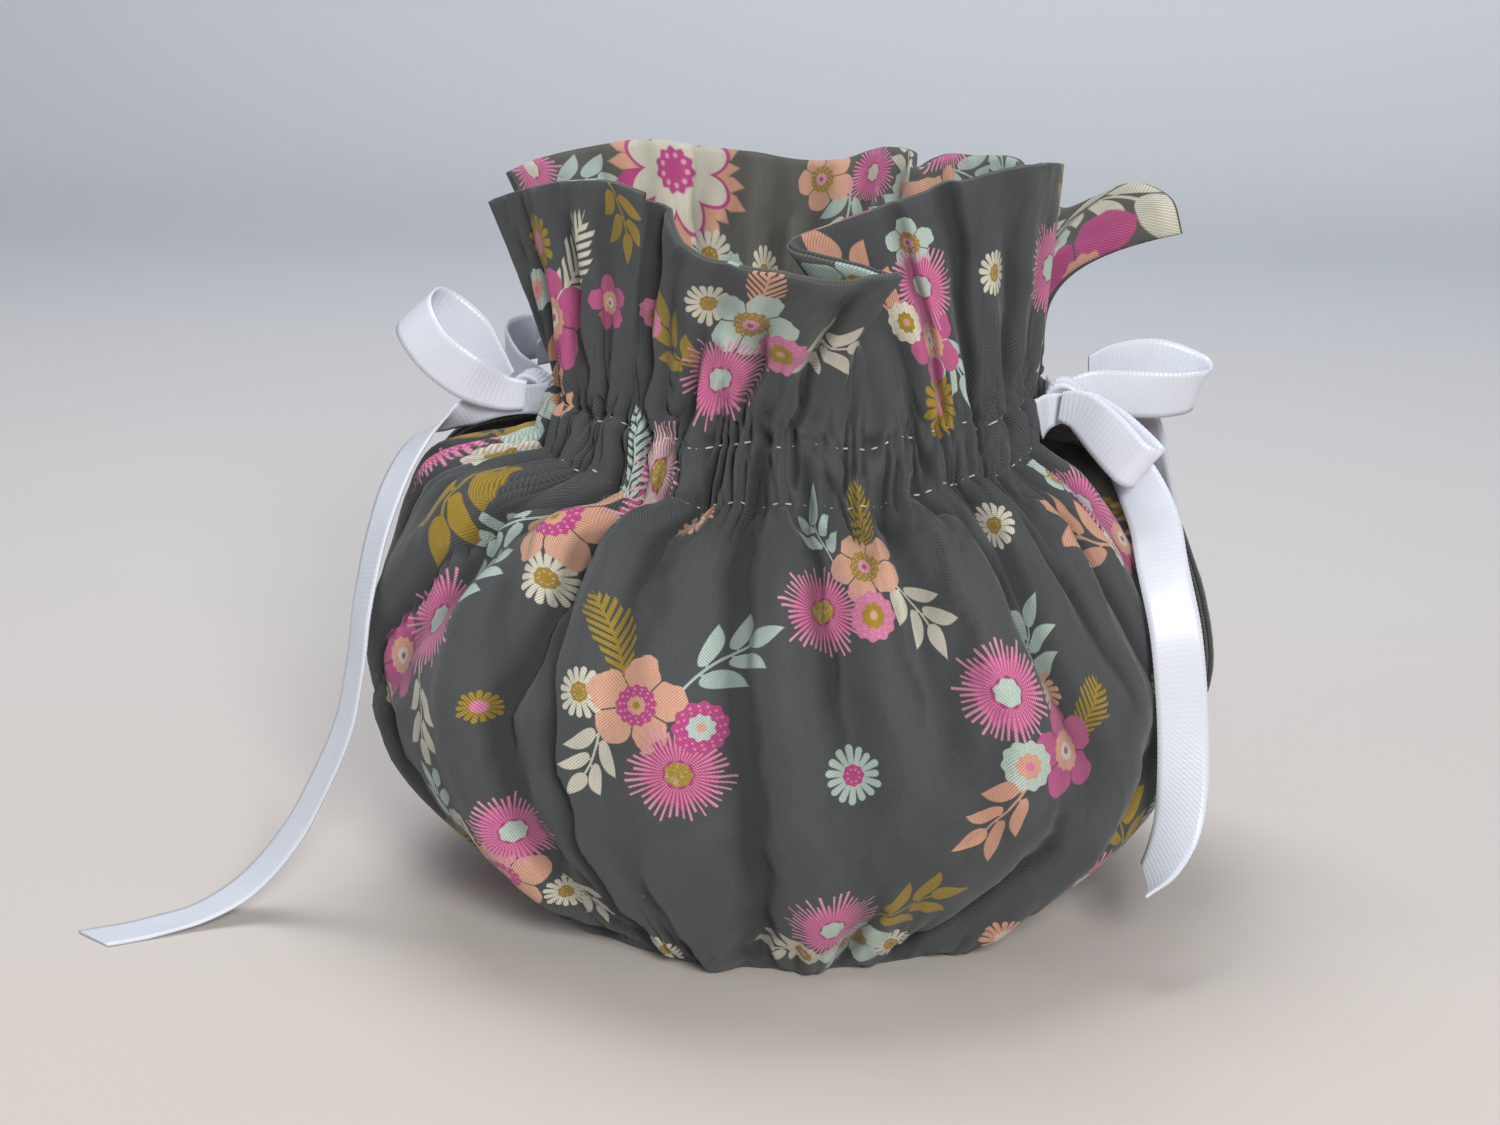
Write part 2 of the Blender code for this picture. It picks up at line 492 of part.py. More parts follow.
def build_panel(name, sections, rim, gathers, folds, side, collection):
    """One outer panel and its lining, a thin gap apart on the two sides of the same surface."""
    across = columns_for(rim, gathers)
    points = shifted(panel_surface(sections, rim, gathers, folds, side, across))
    if side < 0:
        points = points[:, ::-1]
    away = 1 + LAYER_GAP / CLOTH
    outer = thicken(grid_object(name + "_panel", points, collection), CLOTH, away)
    press_hem_flat(outer)
    outer.data.materials.append(material(name + "_print", (0.07, 0.075, 0.07), 0.85))
    lining = thicken(grid_object(name + "_lining", points, collection), CLOTH, -away)
    lining.data.materials.append(material(name + "_lining_print", (0.10, 0.10, 0.09), 0.85))


def ribbon_points(route):
    """Grid of a ribbon: stations along its route, two for each row, each with its two edges."""
    rows = table(route, RIBBON_COLUMNS)
    marks = np.arange(len(route), dtype=float)
    stations = np.linspace(0, len(route) - 1, 2 * len(route) - 1)
    read = {name: glide(marks, rows[name], stations) for name in RIBBON_COLUMNS}
    middle = np.stack([read["x"], read["y"], read["z"]], axis=-1)
    width = np.stack([read["across_x"], read["across_y"], read["across_z"]], axis=-1)
    tangent = unit(np.gradient(middle, axis=0))
    across = unit(width - tangent * (width * tangent).sum(axis=1, keepdims=True))
    half = across * read["width"][:, None] / 2
    return np.stack([middle - half, middle + half], axis=1)


def build_ribbon(name, route, collection):
    """One length of ribbon with its thickness, flat on the floor where it lies there."""
    points = shifted(ribbon_points(route))
    sheet = thicken(grid_object(name, points, collection), RIBBON, 0)
    press_hem_flat(sheet)
    sheet.data.materials.append(material(name + "_white", (0.86, 0.87, 0.88), 0.55))


def build_knot(name, centre, collection):
    """The lump of a tied ribbon, as a small rounded block."""
    bm = bmesh.new()
    bmesh.ops.create_cube(bm, size=1)
    size = [length * MM for length in KNOT_SIZE]
    bmesh.ops.scale(bm, vec=size, verts=bm.verts)
    bmesh.ops.translate(bm, vec=shifted(np.array(centre)), verts=bm.verts)
    mesh = bpy.data.meshes.new(name)
    bm.to_mesh(mesh)
    bm.free()
    knot = bpy.data.objects.new(name, mesh)
    collection.objects.link(knot)
    bevel = knot.modifiers.new("rounding", "BEVEL")
    bevel.width = KNOT_ROUNDING * min(size)
    bevel.segments = 2
    mesh.materials.append(material(name + "_white", (0.84, 0.85, 0.87), 0.6))


def main():
    """Clear the scene, then build the panels, ribbons and knots."""
    for leftover in list(bpy.data.objects):
        bpy.data.objects.remove(leftover)
    collection = bpy.data.collections.new("Tea cosy")
    bpy.context.scene.collection.children.link(collection)
    build_panel("front", FRONT_SECTIONS, FRONT_RIM, FRONT_GATHERS, FRONT_FOLDS, -1, collection)
    build_panel("back", BACK_SECTIONS, BACK_RIM, BACK_GATHERS, BACK_FOLDS, 1, collection)
    for name, route in RIBBONS.items():
        build_ribbon(name, route, collection)
    for name, centre in KNOTS.items():
        build_knot(name, centre, collection)


main()
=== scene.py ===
"""Dressed model of a gathered tea cosy: printed cotton panels with linings, stitched casings, ribbon bows.

Lengths in the tables are millimetres, and the spout side is -X. A place on a panel is given by
across, from -1 at the spout side to 1 at the handle side, and row, the section number from the hem.
"""

import math

import bmesh
import bpy
import numpy as np
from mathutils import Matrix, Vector


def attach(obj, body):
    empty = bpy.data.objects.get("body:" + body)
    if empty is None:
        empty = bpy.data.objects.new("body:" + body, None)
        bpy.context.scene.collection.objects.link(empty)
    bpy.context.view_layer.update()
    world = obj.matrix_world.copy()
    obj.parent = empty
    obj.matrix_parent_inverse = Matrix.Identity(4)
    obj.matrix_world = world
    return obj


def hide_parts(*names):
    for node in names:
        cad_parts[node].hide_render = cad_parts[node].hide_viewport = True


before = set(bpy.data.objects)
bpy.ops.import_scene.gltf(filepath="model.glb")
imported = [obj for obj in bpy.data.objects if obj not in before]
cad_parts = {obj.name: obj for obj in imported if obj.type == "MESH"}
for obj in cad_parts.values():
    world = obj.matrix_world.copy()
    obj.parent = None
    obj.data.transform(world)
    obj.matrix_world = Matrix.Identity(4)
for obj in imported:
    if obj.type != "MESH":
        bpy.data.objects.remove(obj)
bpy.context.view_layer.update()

MM = 0.001

# From the middle of the hem to the middle of the whole part, with its ribbon tails.
ORIGIN_SHIFT = np.array([24.95, 0.0, 0.0])

# The cloth as it was cut, before it was gathered: half its width, and its height.
HALF_WIDTH = 133.0
PANEL_HEIGHT = 177.0
CLOTH_THICKNESS = 0.7
LAYER_GAP = 0.45
EDGE_GAP = 0.05

RIBBON_THICKNESS = 0.5
RIB_PITCH = 1.02
RIB_DEPTH = 0.060

# The side seams: half their thickness outwards and across, and the rows where the openings begin.
SEAM_ROLL = (0.70, 0.62)
SEAM_ENDS = {"spout": 9.05, "handle": 6.05}

# How much shorter one edge of a tail is cut than the other, in millimetres: below zero, the other edge.
ENDS_CUT = {
    "spout_tie_front": 3.5,
    "spout_tie_back": 3.5,
    "handle_tie_front": -9.5,
    "handle_tie_back": 3.5,
}

# The knots: their size in millimetres, and how many ribs run round them.
KNOT_SIZE = (8.4, 8.8, 8.6)
KNOT_RIBS = 24

# Half the band's width and the share of the knot's radius there, from one hollow end to the other.
KNOT_COLUMNS = ("across", "radius")
KNOT_PROFILE = (
    (-0.50, 0.0),
    (-0.58, 0.28),
    (-0.80, 0.56),
    (-0.97, 0.76),
    (-1.0, 0.88),
    (-0.90, 0.98),
    (-0.50, 1.0),
    (0.0, 0.97),
    (0.50, 1.0),
    (0.90, 0.98),
    (1.0, 0.88),
    (0.97, 0.76),
    (0.80, 0.56),
    (0.58, 0.28),
    (0.50, 0.0),
)
# The band's pleats: their place across it, the angle that their sway starts from, and their depth.
KNOT_PLEATS = ((-0.36, 0.6, 0.13), (0.30, 2.4, 0.11))
KNOT_PLEAT_SWAY = 0.16
KNOT_PLEAT_WIDTH = 0.10

# The cotton's weave: the distance between its lines in millimetres and their contrast; and the painted
# shade of the folds: how much darker the cloth is painted for each millimetre that it lies in a hollow.
WEAVE_PITCH = 0.64
WEAVE_CONTRAST = 0.27
PAINTED_HOLLOW_SHADE = 0.30

# Cross sections of a panel, from the hem up to the top of the neck casing.
# reach: how far the section goes to the spout, to the handle and to the middle of the panel.
# gap: how far the panel's side edge stays from the middle plane, on the spout and the handle side.
# rise: how much higher the section runs at the sides than in the middle.
SECTION_COLUMNS = ("height", "spout", "handle", "middle", "spout_gap", "handle_gap", "rise")
FRONT_SECTIONS = (
    ("hem inner edge", 1.15, 46.5, 47.0, 46.5, 0.25, 0.25, 0.0),
    ("hem outer edge", 1.15, 51.5, 52.0, 51.5, 0.25, 0.25, 0.0),
    ("hem turn", 3.6, 57.0, 57.5, 56.5, 0.25, 0.25, 0.3),
    ("under belly", 9.5, 65.0, 64.5, 62.0, 0.25, 0.25, 0.5),
    ("lower belly", 17.5, 74.5, 72.5, 68.0, 0.25, 0.25, 0.5),
    ("low belly", 27.5, 83.0, 79.5, 74.0, 0.25, 0.25, 0.0),
    ("belly", 38.0, 88.0, 82.5, 77.5, 0.25, 0.25, 0.0),
    ("widest", 49.0, 89.5, 81.5, 79.0, 0.25, 7.0, 0.0),
    ("high belly", 60.5, 88.0, 78.5, 78.5, 0.25, 13.0, 0.0),
    ("chest", 72.0, 85.0, 74.0, 75.5, 0.25, 17.0, 1.0),
    ("shoulder", 82.5, 80.5, 68.5, 69.5, 4.0, 19.0, 2.0),
    ("upper shoulder", 90.5, 73.0, 61.0, 61.5, 9.0, 19.0, 4.0),
    ("casing foot", 95.0, 51.5, 52.0, 52.0, 11.0, 17.0, 5.5),
    ("casing top", 105.5, 46.5, 50.0, 49.5, 12.0, 14.0, 4.0),
)
BACK_SECTIONS = (
    ("hem inner edge", 1.15, 46.5, 47.0, 46.0, 0.25, 0.25, 0.0),
    ("hem outer edge", 1.15, 51.5, 52.0, 51.0, 0.25, 0.25, 0.0),
    ("hem turn", 3.6, 57.0, 57.5, 56.0, 0.25, 0.25, 0.3),
    ("under belly", 9.5, 65.0, 64.5, 62.0, 0.25, 0.25, 0.5),
    ("lower belly", 17.5, 74.5, 72.5, 68.5, 0.25, 0.25, 0.5),
    ("low belly", 27.5, 83.0, 79.5, 74.5, 0.25, 0.25, 0.0),
    ("belly", 38.0, 88.0, 84.5, 77.5, 0.25, 0.25, 0.0),
    ("widest", 49.0, 89.5, 87.5, 78.5, 0.25, 5.0, 0.0),
    ("high belly", 60.5, 88.0, 86.0, 77.5, 0.25, 9.0, 0.0),
    ("chest", 72.0, 85.0, 82.0, 74.5, 0.25, 12.0, 1.0),
    ("shoulder", 82.5, 80.5, 76.5, 68.5, 4.0, 14.0, 2.0),
    ("upper shoulder", 90.5, 73.0, 70.0, 60.5, 8.0, 14.0, 4.0),
    ("casing foot", 95.0, 51.5, 52.5, 51.0, 10.0, 12.0, 5.5),
    ("casing top", 105.5, 46.5, 50.0, 48.0, 10.0, 11.0, 4.0),
)

# Turns of the standing frill's top edge. across runs from -1 at the spout side to 1 at the
# handle side. lean is 1 for a straight slope up from the casing, and more for cloth that
# stands first and leans out near its edge.
RIM_COLUMNS = ("across", "x", "y", "z", "lean")
FRONT_RIM = (
    ("spout corner", -1.00, -57.5, -22.0, 147.5, 1.1),
    ("spout side", -0.82, -49.5, -33.0, 150.5, 1.1),
    ("first crest", -0.64, -38.5, -42.5, 153.5, 1.1),
    ("crest end", -0.50, -27.5, -50.0, 154.5, 1.0),
    ("valley lip", -0.41, -19.5, -54.5, 152.5, 1.0),
    ("deep valley", -0.34, -16.5, -51.5, 149.5, 1.0),
    ("valley climb", -0.28, -13.0, -60.0, 146.0, 1.2),
    ("low front", -0.18, -6.0, -66.5, 143.0, 1.4),
    ("front bulge", -0.06, 4.5, -71.5, 141.5, 1.5),
    ("front lip", 0.06, 17.0, -74.0, 140.2, 1.5),
    ("fold start", 0.14, 26.0, -73.0, 140.2, 1.6),
    ("first turn", 0.20, 31.0, -68.8, 141.0, 1.9),
    ("fold middle", 0.28, 20.0, -62.5, 142.8, 2.2),
    ("second turn", 0.36, 8.5, -56.5, 145.0, 2.2),
    ("inner layer", 0.43, 15.0, -51.0, 147.5, 1.9),
    ("handle rise", 0.56, 27.0, -47.5, 151.5, 1.3),
    ("shallow valley", 0.68, 37.0, -42.0, 154.5, 1.0),
    ("second crest", 0.78, 44.5, -40.5, 156.5, 1.0),
    ("corner bend", 0.92, 53.5, -30.0, 157.5, 0.9),
    ("handle corner", 1.00, 55.0, -20.0, 156.6, 0.8),
)
BACK_RIM = (
    ("spout corner", -1.00, -62.5, 10.0, 149.8, 1.2),
    ("spout side", -0.86, -60.0, 22.0, 151.0, 1.2),
    ("first crest", -0.70, -50.0, 36.0, 152.8, 1.0),
    ("crest end", -0.54, -38.5, 43.5, 153.8, 1.0),
    ("shallow valley", -0.42, -29.5, 45.5, 152.5, 1.0),
    ("low back", -0.28, -19.0, 53.5, 150.5, 1.0),
    ("back dip", -0.12, -6.0, 55.5, 148.6, 1.0),
    ("small valley", -0.01, 2.5, 50.5, 149.5, 1.0),
    ("back crest", 0.12, 12.5, 52.0, 152.2, 1.0),
    ("fold lip", 0.21, 19.5, 46.5, 151.8, 1.0),
    ("fold valley", 0.28, 21.0, 37.5, 149.5, 1.0),
    ("fold climb", 0.35, 25.5, 43.5, 151.5, 1.0),
    ("third crest", 0.46, 33.5, 43.0, 151.6, 1.0),
    ("handle side", 0.57, 43.0, 34.0, 152.0, 1.0),
    ("corner valley", 0.67, 48.5, 23.5, 147.5, 1.2),
    ("flap root", 0.76, 54.0, 16.5, 143.8, 1.8),
    ("flap rise", 0.83, 61.5, 12.0, 147.3, 2.4),
    ("flap top", 0.89, 69.5, 7.0, 150.2, 3.0),
    ("flap bend", 0.945, 76.0, 2.8, 147.5, 3.6),
    ("flap tip", 1.00, 78.2, 0.8, 141.0, 4.2),
)
FRILL_HEIGHTS = (0.16, 0.42, 0.72, 1.0)

# Gathers drawn in by the neck casing: place across the panel and depth.
GATHER_COLUMNS = ("across", "depth")
FRONT_GATHERS = (
    (-0.91, 2.4), (-0.78, 3.0), (-0.64, 2.6), (-0.50, 3.6), (-0.41, 3.0), (-0.28, 3.4),
    (-0.12, 3.4), (0.00, 2.8), (0.14, 3.4), (0.24, 1.6), (0.32, 2.2), (0.43, 3.4),
    (0.56, 3.2), (0.68, 3.2), (0.80, 2.6), (0.92, 2.0),
)
BACK_GATHERS = (
    (-0.89, 1.8), (-0.76, 2.6), (-0.63, 2.0), (-0.50, 3.0), (-0.37, 2.2), (-0.25, 3.4),
    (-0.11, 2.4), (0.02, 3.0), (0.16, 2.4), (0.28, 3.2), (0.40, 2.2), (0.53, 3.0),
    (0.66, 2.4), (0.79, 2.8), (0.90, 1.8),
)

# Width of a gather at the casing, how much wider and deeper it gets away from it, and how many
# sections it reaches below the casing's foot and above its top.
GATHER_WIDTH = 0.042
GATHER_SPREAD = 0.5
GATHER_GROWTH = 1.6
GATHER_REACH_DOWN = 4.2
GATHER_REACH_UP = 4.6
CASING_FOOT = 12.0
CASING_TOP = 13.0

# Creases and soft folds of the body: where each starts and ends (place across the panel and
# section number, counted from the hem), how deep it is (below zero for a ridge) and how wide.
FOLD_COLUMNS = ("across_low", "section_low", "across_high", "section_high", "depth", "width")
FRONT_FOLDS = (
    ("long crease", -0.27, 2.0, -0.37, 9.5, 4.6, 0.045),
    ("ridge by the long crease", -0.35, 2.5, -0.45, 9.0, -3.4, 0.055),
    ("overlapped fold", -0.34, 2.0, -0.60, 5.0, 3.6, 0.045),
    ("spout crease", -0.62, 3.5, -0.67, 7.0, 3.0, 0.05),
    ("far spout crease", -0.76, 3.5, -0.86, 6.5, 3.0, 0.05),
    ("shoulder fold", -0.60, 8.0, -0.36, 12.0, 4.2, 0.05),
    ("shoulder ridge", -0.72, 8.0, -0.56, 11.5, -3.0, 0.06),
    ("upper crease", -0.31, 8.5, -0.25, 12.0, 3.4, 0.045),
    ("upper ridge", -0.20, 8.0, -0.18, 11.5, -2.6, 0.05),
    ("middle fold", 0.02, 7.0, 0.02, 11.5, 3.0, 0.05),
    ("middle ridge", 0.09, 6.5, 0.10, 11.5, -3.0, 0.05),
    ("handle fold", 0.22, 7.0, 0.19, 11.5, 3.4, 0.05),
    ("second handle fold", 0.36, 7.5, 0.32, 11.5, 3.2, 0.045),
    ("handle ridge", 0.46, 7.0, 0.42, 11.5, -3.2, 0.06),
    ("third handle fold", 0.60, 7.0, 0.52, 11.5, 3.4, 0.05),
    ("low middle fold", 0.04, 2.0, 0.05, 7.0, 3.0, 0.05),
    ("low middle ridge", 0.13, 2.0, 0.14, 5.5, -2.6, 0.055),
    ("low handle fold", 0.36, 2.0, 0.50, 4.5, 3.6, 0.05),
    ("low side fold", 0.60, 2.0, 0.76, 6.0, 3.4, 0.05),
    ("low side ridge", 0.50, 2.0, 0.64, 5.5, -2.6, 0.06),
    ("low ridge", -0.08, 2.0, -0.10, 5.0, -2.6, 0.06),
)
BACK_FOLDS = (
    ("spout fold", -0.70, 2.0, -0.74, 6.5, 3.2, 0.05),
    ("low spout ridge", -0.56, 2.0, -0.60, 5.5, -2.8, 0.06),
    ("long fold", -0.40, 2.0, -0.48, 9.0, 4.0, 0.05),
    ("low middle fold", -0.12, 2.0, -0.18, 6.5, 3.4, 0.05),
    ("low middle ridge", -0.02, 2.0, -0.04, 5.5, -2.6, 0.06),
    ("low handle fold", 0.14, 2.0, 0.20, 6.0, 3.2, 0.05),
    ("handle crease", 0.42, 2.0, 0.54, 7.5, 4.0, 0.05),
    ("far handle fold", 0.70, 2.0, 0.78, 5.5, 3.0, 0.05),
    ("upper spout fold", -0.57, 7.5, -0.50, 11.5, 3.6, 0.05),
    ("upper long fold", -0.30, 6.5, -0.25, 11.5, 3.6, 0.05),
    ("upper middle ridge", -0.14, 7.5, -0.05, 11.5, -3.0, 0.06),
    ("upper middle fold", 0.06, 7.0, 0.02, 11.5, 3.4, 0.05),
    ("upper handle fold", 0.32, 7.0, 0.28, 11.5, 3.6, 0.05),
    ("upper handle ridge", 0.44, 7.5, 0.40, 11.5, -3.0, 0.06),
    ("far upper fold", 0.62, 7.5, 0.53, 11.5, 3.4, 0.05),
)
FOLD_FADE = 1.0
FOLD_FULLNESS = 0.6

# Puckers of the elastic hem: how many half waves cross a panel, how deep they are, the section
# where they are deepest, how many sections they fade over, how far their spacing drifts, and the
# distance between the fine pleats on them and the depth of those.
HEM_PUCKERS = 17
HEM_PUCKER_DEPTH = 1.4
PUCKER_ROW = 2.6
PUCKER_SPREAD = 1.1
PUCKER_DRIFT = 0.8
PUCKER_DRIFT_TURNS = 7
FINE_HEM_PITCH = 6.1
FINE_HEM_DEPTH = 1.4

# Below this section the hem lies flat, and this near its side edges a panel has no folds.
HEM_TURN = 1.5
CALM_EDGE = 0.06

# Routes of the ribbons: the middle of the ribbon, the direction of its width, and its width,
# which is drawn in at the knot.
RIBBON_COLUMNS = ("x", "y", "z", "across_x", "across_y", "across_z", "width")
SPOUT_TIE_FRONT = (
    (-49.4, -10.5, 104.5, 0.0, 0.0, 1.0, 9.0),
    (-51.0, -7.6, 104.6, 0.0, 0.0, 1.0, 7.0),
    (-55.0, -6.7, 104.4, 0.0, 0.0, 1.0, 6.0),
    (-61.5, -6.4, 103.4, 0.0, 0.0, 1.0, 6.0),
    (-67.0, -6.6, 101.6, 0.1, -0.3, 0.95, 6.5),
    (-71.8, -8.0, 99.4, 0.35, -0.7, 0.6, 8.0),
    (-76.2, -12.5, 97.0, 0.55, -0.80, 0.15, 10.0),
    (-79.2, -21.0, 90.0, 0.60, -0.80, 0.0, 10.0),
    (-81.0, -30.0, 80.0, 0.60, -0.80, 0.0, 10.0),
    (-82.8, -36.5, 66.0, 0.60, -0.80, 0.0, 10.0),
    (-84.3, -38.5, 52.0, 0.60, -0.80, 0.0, 10.0),
    (-88.0, -39.0, 38.0, 0.60, -0.80, 0.0, 10.0),
    (-97.5, -39.5, 19.5, 0.58, -0.80, -0.1, 10.0),
    (-107.0, -42.0, 7.5, 0.56, -0.82, -0.1, 10.0),
    (-116.0, -47.5, 2.0, 0.56, -0.83, 0.0, 10.0),
    (-125.0, -54.5, 0.5, 0.60, -0.80, 0.0, 10.0),
    (-135.5, -62.5, 0.5, 0.60, -0.80, 0.0, 10.0),
)
SPOUT_TIE_BACK = (
    (-49.2, 9.3, 104.5, 0.0, 0.0, 1.0, 9.0),
    (-51.0, 6.2, 104.6, 0.0, 0.0, 1.0, 7.0),
    (-55.0, 5.2, 104.0, 0.0, 0.0, 1.0, 6.0),
    (-59.5, 7.6, 102.6, 0.3, 0.1, 0.9, 6.0),
    (-63.0, 12.5, 102.4, 0.9, 0.1, 0.2, 7.5),
    (-67.0, 20.0, 101.8, 0.95, 0.2, 0.1, 10.0),
    (-72.5, 29.0, 96.5, 0.8, 0.6, 0.1, 10.0),
    (-77.6, 36.0, 84.5, 0.55, 0.83, 0.0, 10.0),
    (-81.8, 40.0, 68.0, 0.48, 0.87, 0.0, 10.0),
    (-83.2, 42.0, 52.0, 0.48, 0.87, 0.0, 10.0),
    (-81.7, 42.5, 37.0, 0.48, 0.87, 0.0, 10.0),
)
SPOUT_LOOP_FRONT = (
    (-55.0, -8.3, 105.6, 0.0, 0.0, 1.0, 6.0),
    (-60.0, -9.6, 106.4, 0.2, 0.0, 0.98, 7.5),
    (-66.5, -12.5, 110.0, 0.45, -0.1, 0.88, 10.0),
    (-73.5, -12.0, 115.0, 0.6, -0.1, 0.78, 10.0),
    (-78.6, -7.5, 120.2, 0.75, 0.0, 0.66, 10.0),
    (-79.6, -1.5, 122.4, 0.75, 0.0, 0.66, 10.0),
    (-76.6, 2.6, 121.4, 0.72, 0.1, 0.68, 10.0),
    (-70.0, 3.6, 116.0, 0.55, 0.1, 0.82, 10.0),
    (-64.5, 1.5, 110.0, 0.4, 0.0, 0.92, 8.0),
    (-61.0, -0.5, 106.8, 0.2, 0.0, 0.98, 6.0),
)
SPOUT_LOOP_BACK = (
    (-55.0, 3.5, 106.6, 0.0, 0.0, 1.0, 5.0),
    (-60.0, 5.2, 108.6, 0.0, 0.0, 1.0, 7.0),
    (-64.4, 12.0, 110.6, 0.0, 0.1, 0.99, 10.0),
    (-65.4, 20.0, 111.6, 0.0, 0.2, 0.97, 10.0),
    (-62.0, 25.6, 112.2, 0.0, 0.2, 0.97, 10.0),
    (-57.6, 24.0, 112.4, 0.0, 0.1, 0.99, 10.0),
    (-55.6, 16.5, 112.2, 0.0, 0.0, 1.0, 8.0),
    (-56.0, 7.0, 111.6, 0.0, 0.0, 1.0, 5.0),
)
HANDLE_TIE_FRONT = (
    (51.8, -12.6, 105.0, 0.0, 0.0, 1.0, 9.0),
    (53.6, -9.6, 106.2, 0.0, 0.0, 1.0, 7.0),
    (57.0, -8.1, 106.4, 0.0, 0.0, 1.0, 6.0),
    (62.0, -7.4, 104.5, 0.1, 0.0, 0.99, 6.5),
    (66.3, -8.0, 100.0, 0.5, -0.2, 0.8, 8.0),
    (71.2, -11.6, 93.5, 0.8, -0.25, 0.4, 9.5),
    (75.4, -18.8, 86.5, 0.93, 0.0, 0.25, 10.0),
    (77.6, -26.5, 79.0, 0.96, 0.12, 0.1, 10.0),
    (80.9, -32.0, 66.0, 0.97, 0.12, 0.0, 10.0),
    (83.0, -33.5, 46.0, 0.97, 0.10, 0.0, 10.0),
    (82.8, -36.0, 31.0, 0.94, -0.31, -0.03, 10.0),
    (79.6, -41.5, 22.5, 0.74, -0.62, 0.12, 10.0),
    (74.5, -48.0, 18.0, 0.56, -0.70, 0.40, 10.0),
)
HANDLE_TIE_BACK = (
    (51.8, 10.6, 105.0, 0.0, 0.0, 1.0, 9.0),
    (53.6, 5.4, 105.4, 0.0, 0.0, 1.0, 7.0),
    (57.0, 3.7, 104.6, 0.0, 0.0, 1.0, 6.0),
    (60.6, 6.0, 102.8, 0.3, -0.1, 0.9, 6.0),
    (63.2, 10.5, 102.6, 0.85, -0.3, 0.2, 7.0),
    (66.2, 20.0, 102.4, 0.95, -0.1, 0.1, 9.5),
    (70.4, 30.0, 97.6, 0.85, -0.45, 0.1, 10.0),
    (73.6, 37.0, 86.0, 0.72, -0.69, 0.0, 10.0),
    (78.0, 43.0, 68.0, 0.6, -0.8, 0.0, 10.0),
    (79.8, 45.5, 52.0, 0.55, -0.83, 0.0, 10.0),
    (77.8, 46.0, 38.0, 0.55, -0.83, 0.0, 10.0),
)
HANDLE_LOOP_FRONT = (
    (56.0, -11.4, 107.6, 0.0, 0.0, 1.0, 6.0),
    (60.5, -13.6, 106.8, 0.3, 0.0, 0.95, 8.5),
    (65.5, -17.4, 103.0, 0.6, -0.1, 0.8, 10.0),
    (70.5, -20.4, 98.6, 0.65, -0.1, 0.76, 10.0),
    (73.6, -18.8, 97.2, 0.65, 0.0, 0.76, 10.0),
    (71.8, -15.8, 98.8, 0.65, 0.0, 0.76, 10.0),
    (66.5, -12.8, 103.4, 0.55, 0.0, 0.84, 9.0),
    (61.5, -10.4, 106.6, 0.3, 0.0, 0.95, 7.5),
    (58.0, -9.7, 107.4, 0.0, 0.0, 1.0, 6.0),
)
HANDLE_LOOP_BACK = (
    (57.0, 2.1, 108.2, 0.0, 0.0, 1.0, 5.0),
    (62.0, 3.4, 108.4, 0.2, 0.0, 0.98, 8.0),
    (70.0, 7.2, 107.0, 0.4, 0.0, 0.92, 10.0),
    (78.5, 10.4, 106.6, 0.45, -0.1, 0.89, 10.0),
    (83.0, 13.4, 107.6, 0.45, -0.1, 0.89, 10.0),
    (81.5, 17.2, 109.4, 0.4, 0.0, 0.92, 10.0),
    (73.5, 16.8, 112.0, 0.2, 0.0, 0.98, 10.0),
    (65.0, 11.0, 112.6, 0.1, 0.0, 0.99, 8.0),
    (60.6, 6.4, 112.4, 0.0, 0.0, 1.0, 5.0),
)
RIBBONS = {
    "spout_tie_front": SPOUT_TIE_FRONT,
    "spout_tie_back": SPOUT_TIE_BACK,
    "spout_loop_front": SPOUT_LOOP_FRONT,
    "spout_loop_back": SPOUT_LOOP_BACK,
    "handle_tie_front": HANDLE_TIE_FRONT,
    "handle_tie_back": HANDLE_TIE_BACK,
    "handle_loop_front": HANDLE_LOOP_FRONT,
    "handle_loop_back": HANDLE_LOOP_BACK,
}
KNOTS = {
    "spout_knot": (-55.0, -1.5, 105.2),
    "handle_knot": (56.6, -3.0, 107.2),
}

# Rows of the visible grid: from which row to which, and how many steps.
ROW_COLUMNS = ("start", "end", "steps")
PANEL_ROWS = (
    ("hem", 0.0, 3.0, 20),
    ("body", 3.0, 10.5, 30),
    ("shoulder", 10.5, 12.0, 12),
    ("casing", 12.0, 13.0, 15),
    ("foot of the frill", 13.0, 14.5, 15),
    ("frill", 14.5, 17.0, 20),
)
LAST_ROW = 17.0
PANEL_COLUMNS = 420
LINING_COLUMNS = 300

# Flat height of a row of the frill and of the hem, and how far in from an edge the cloth and its
# lining are pinched together.
FRILL_ROW_HEIGHT = 13.0
HEM_ROW_HEIGHT = 6.0
PINCH_WIDTH = 2.2

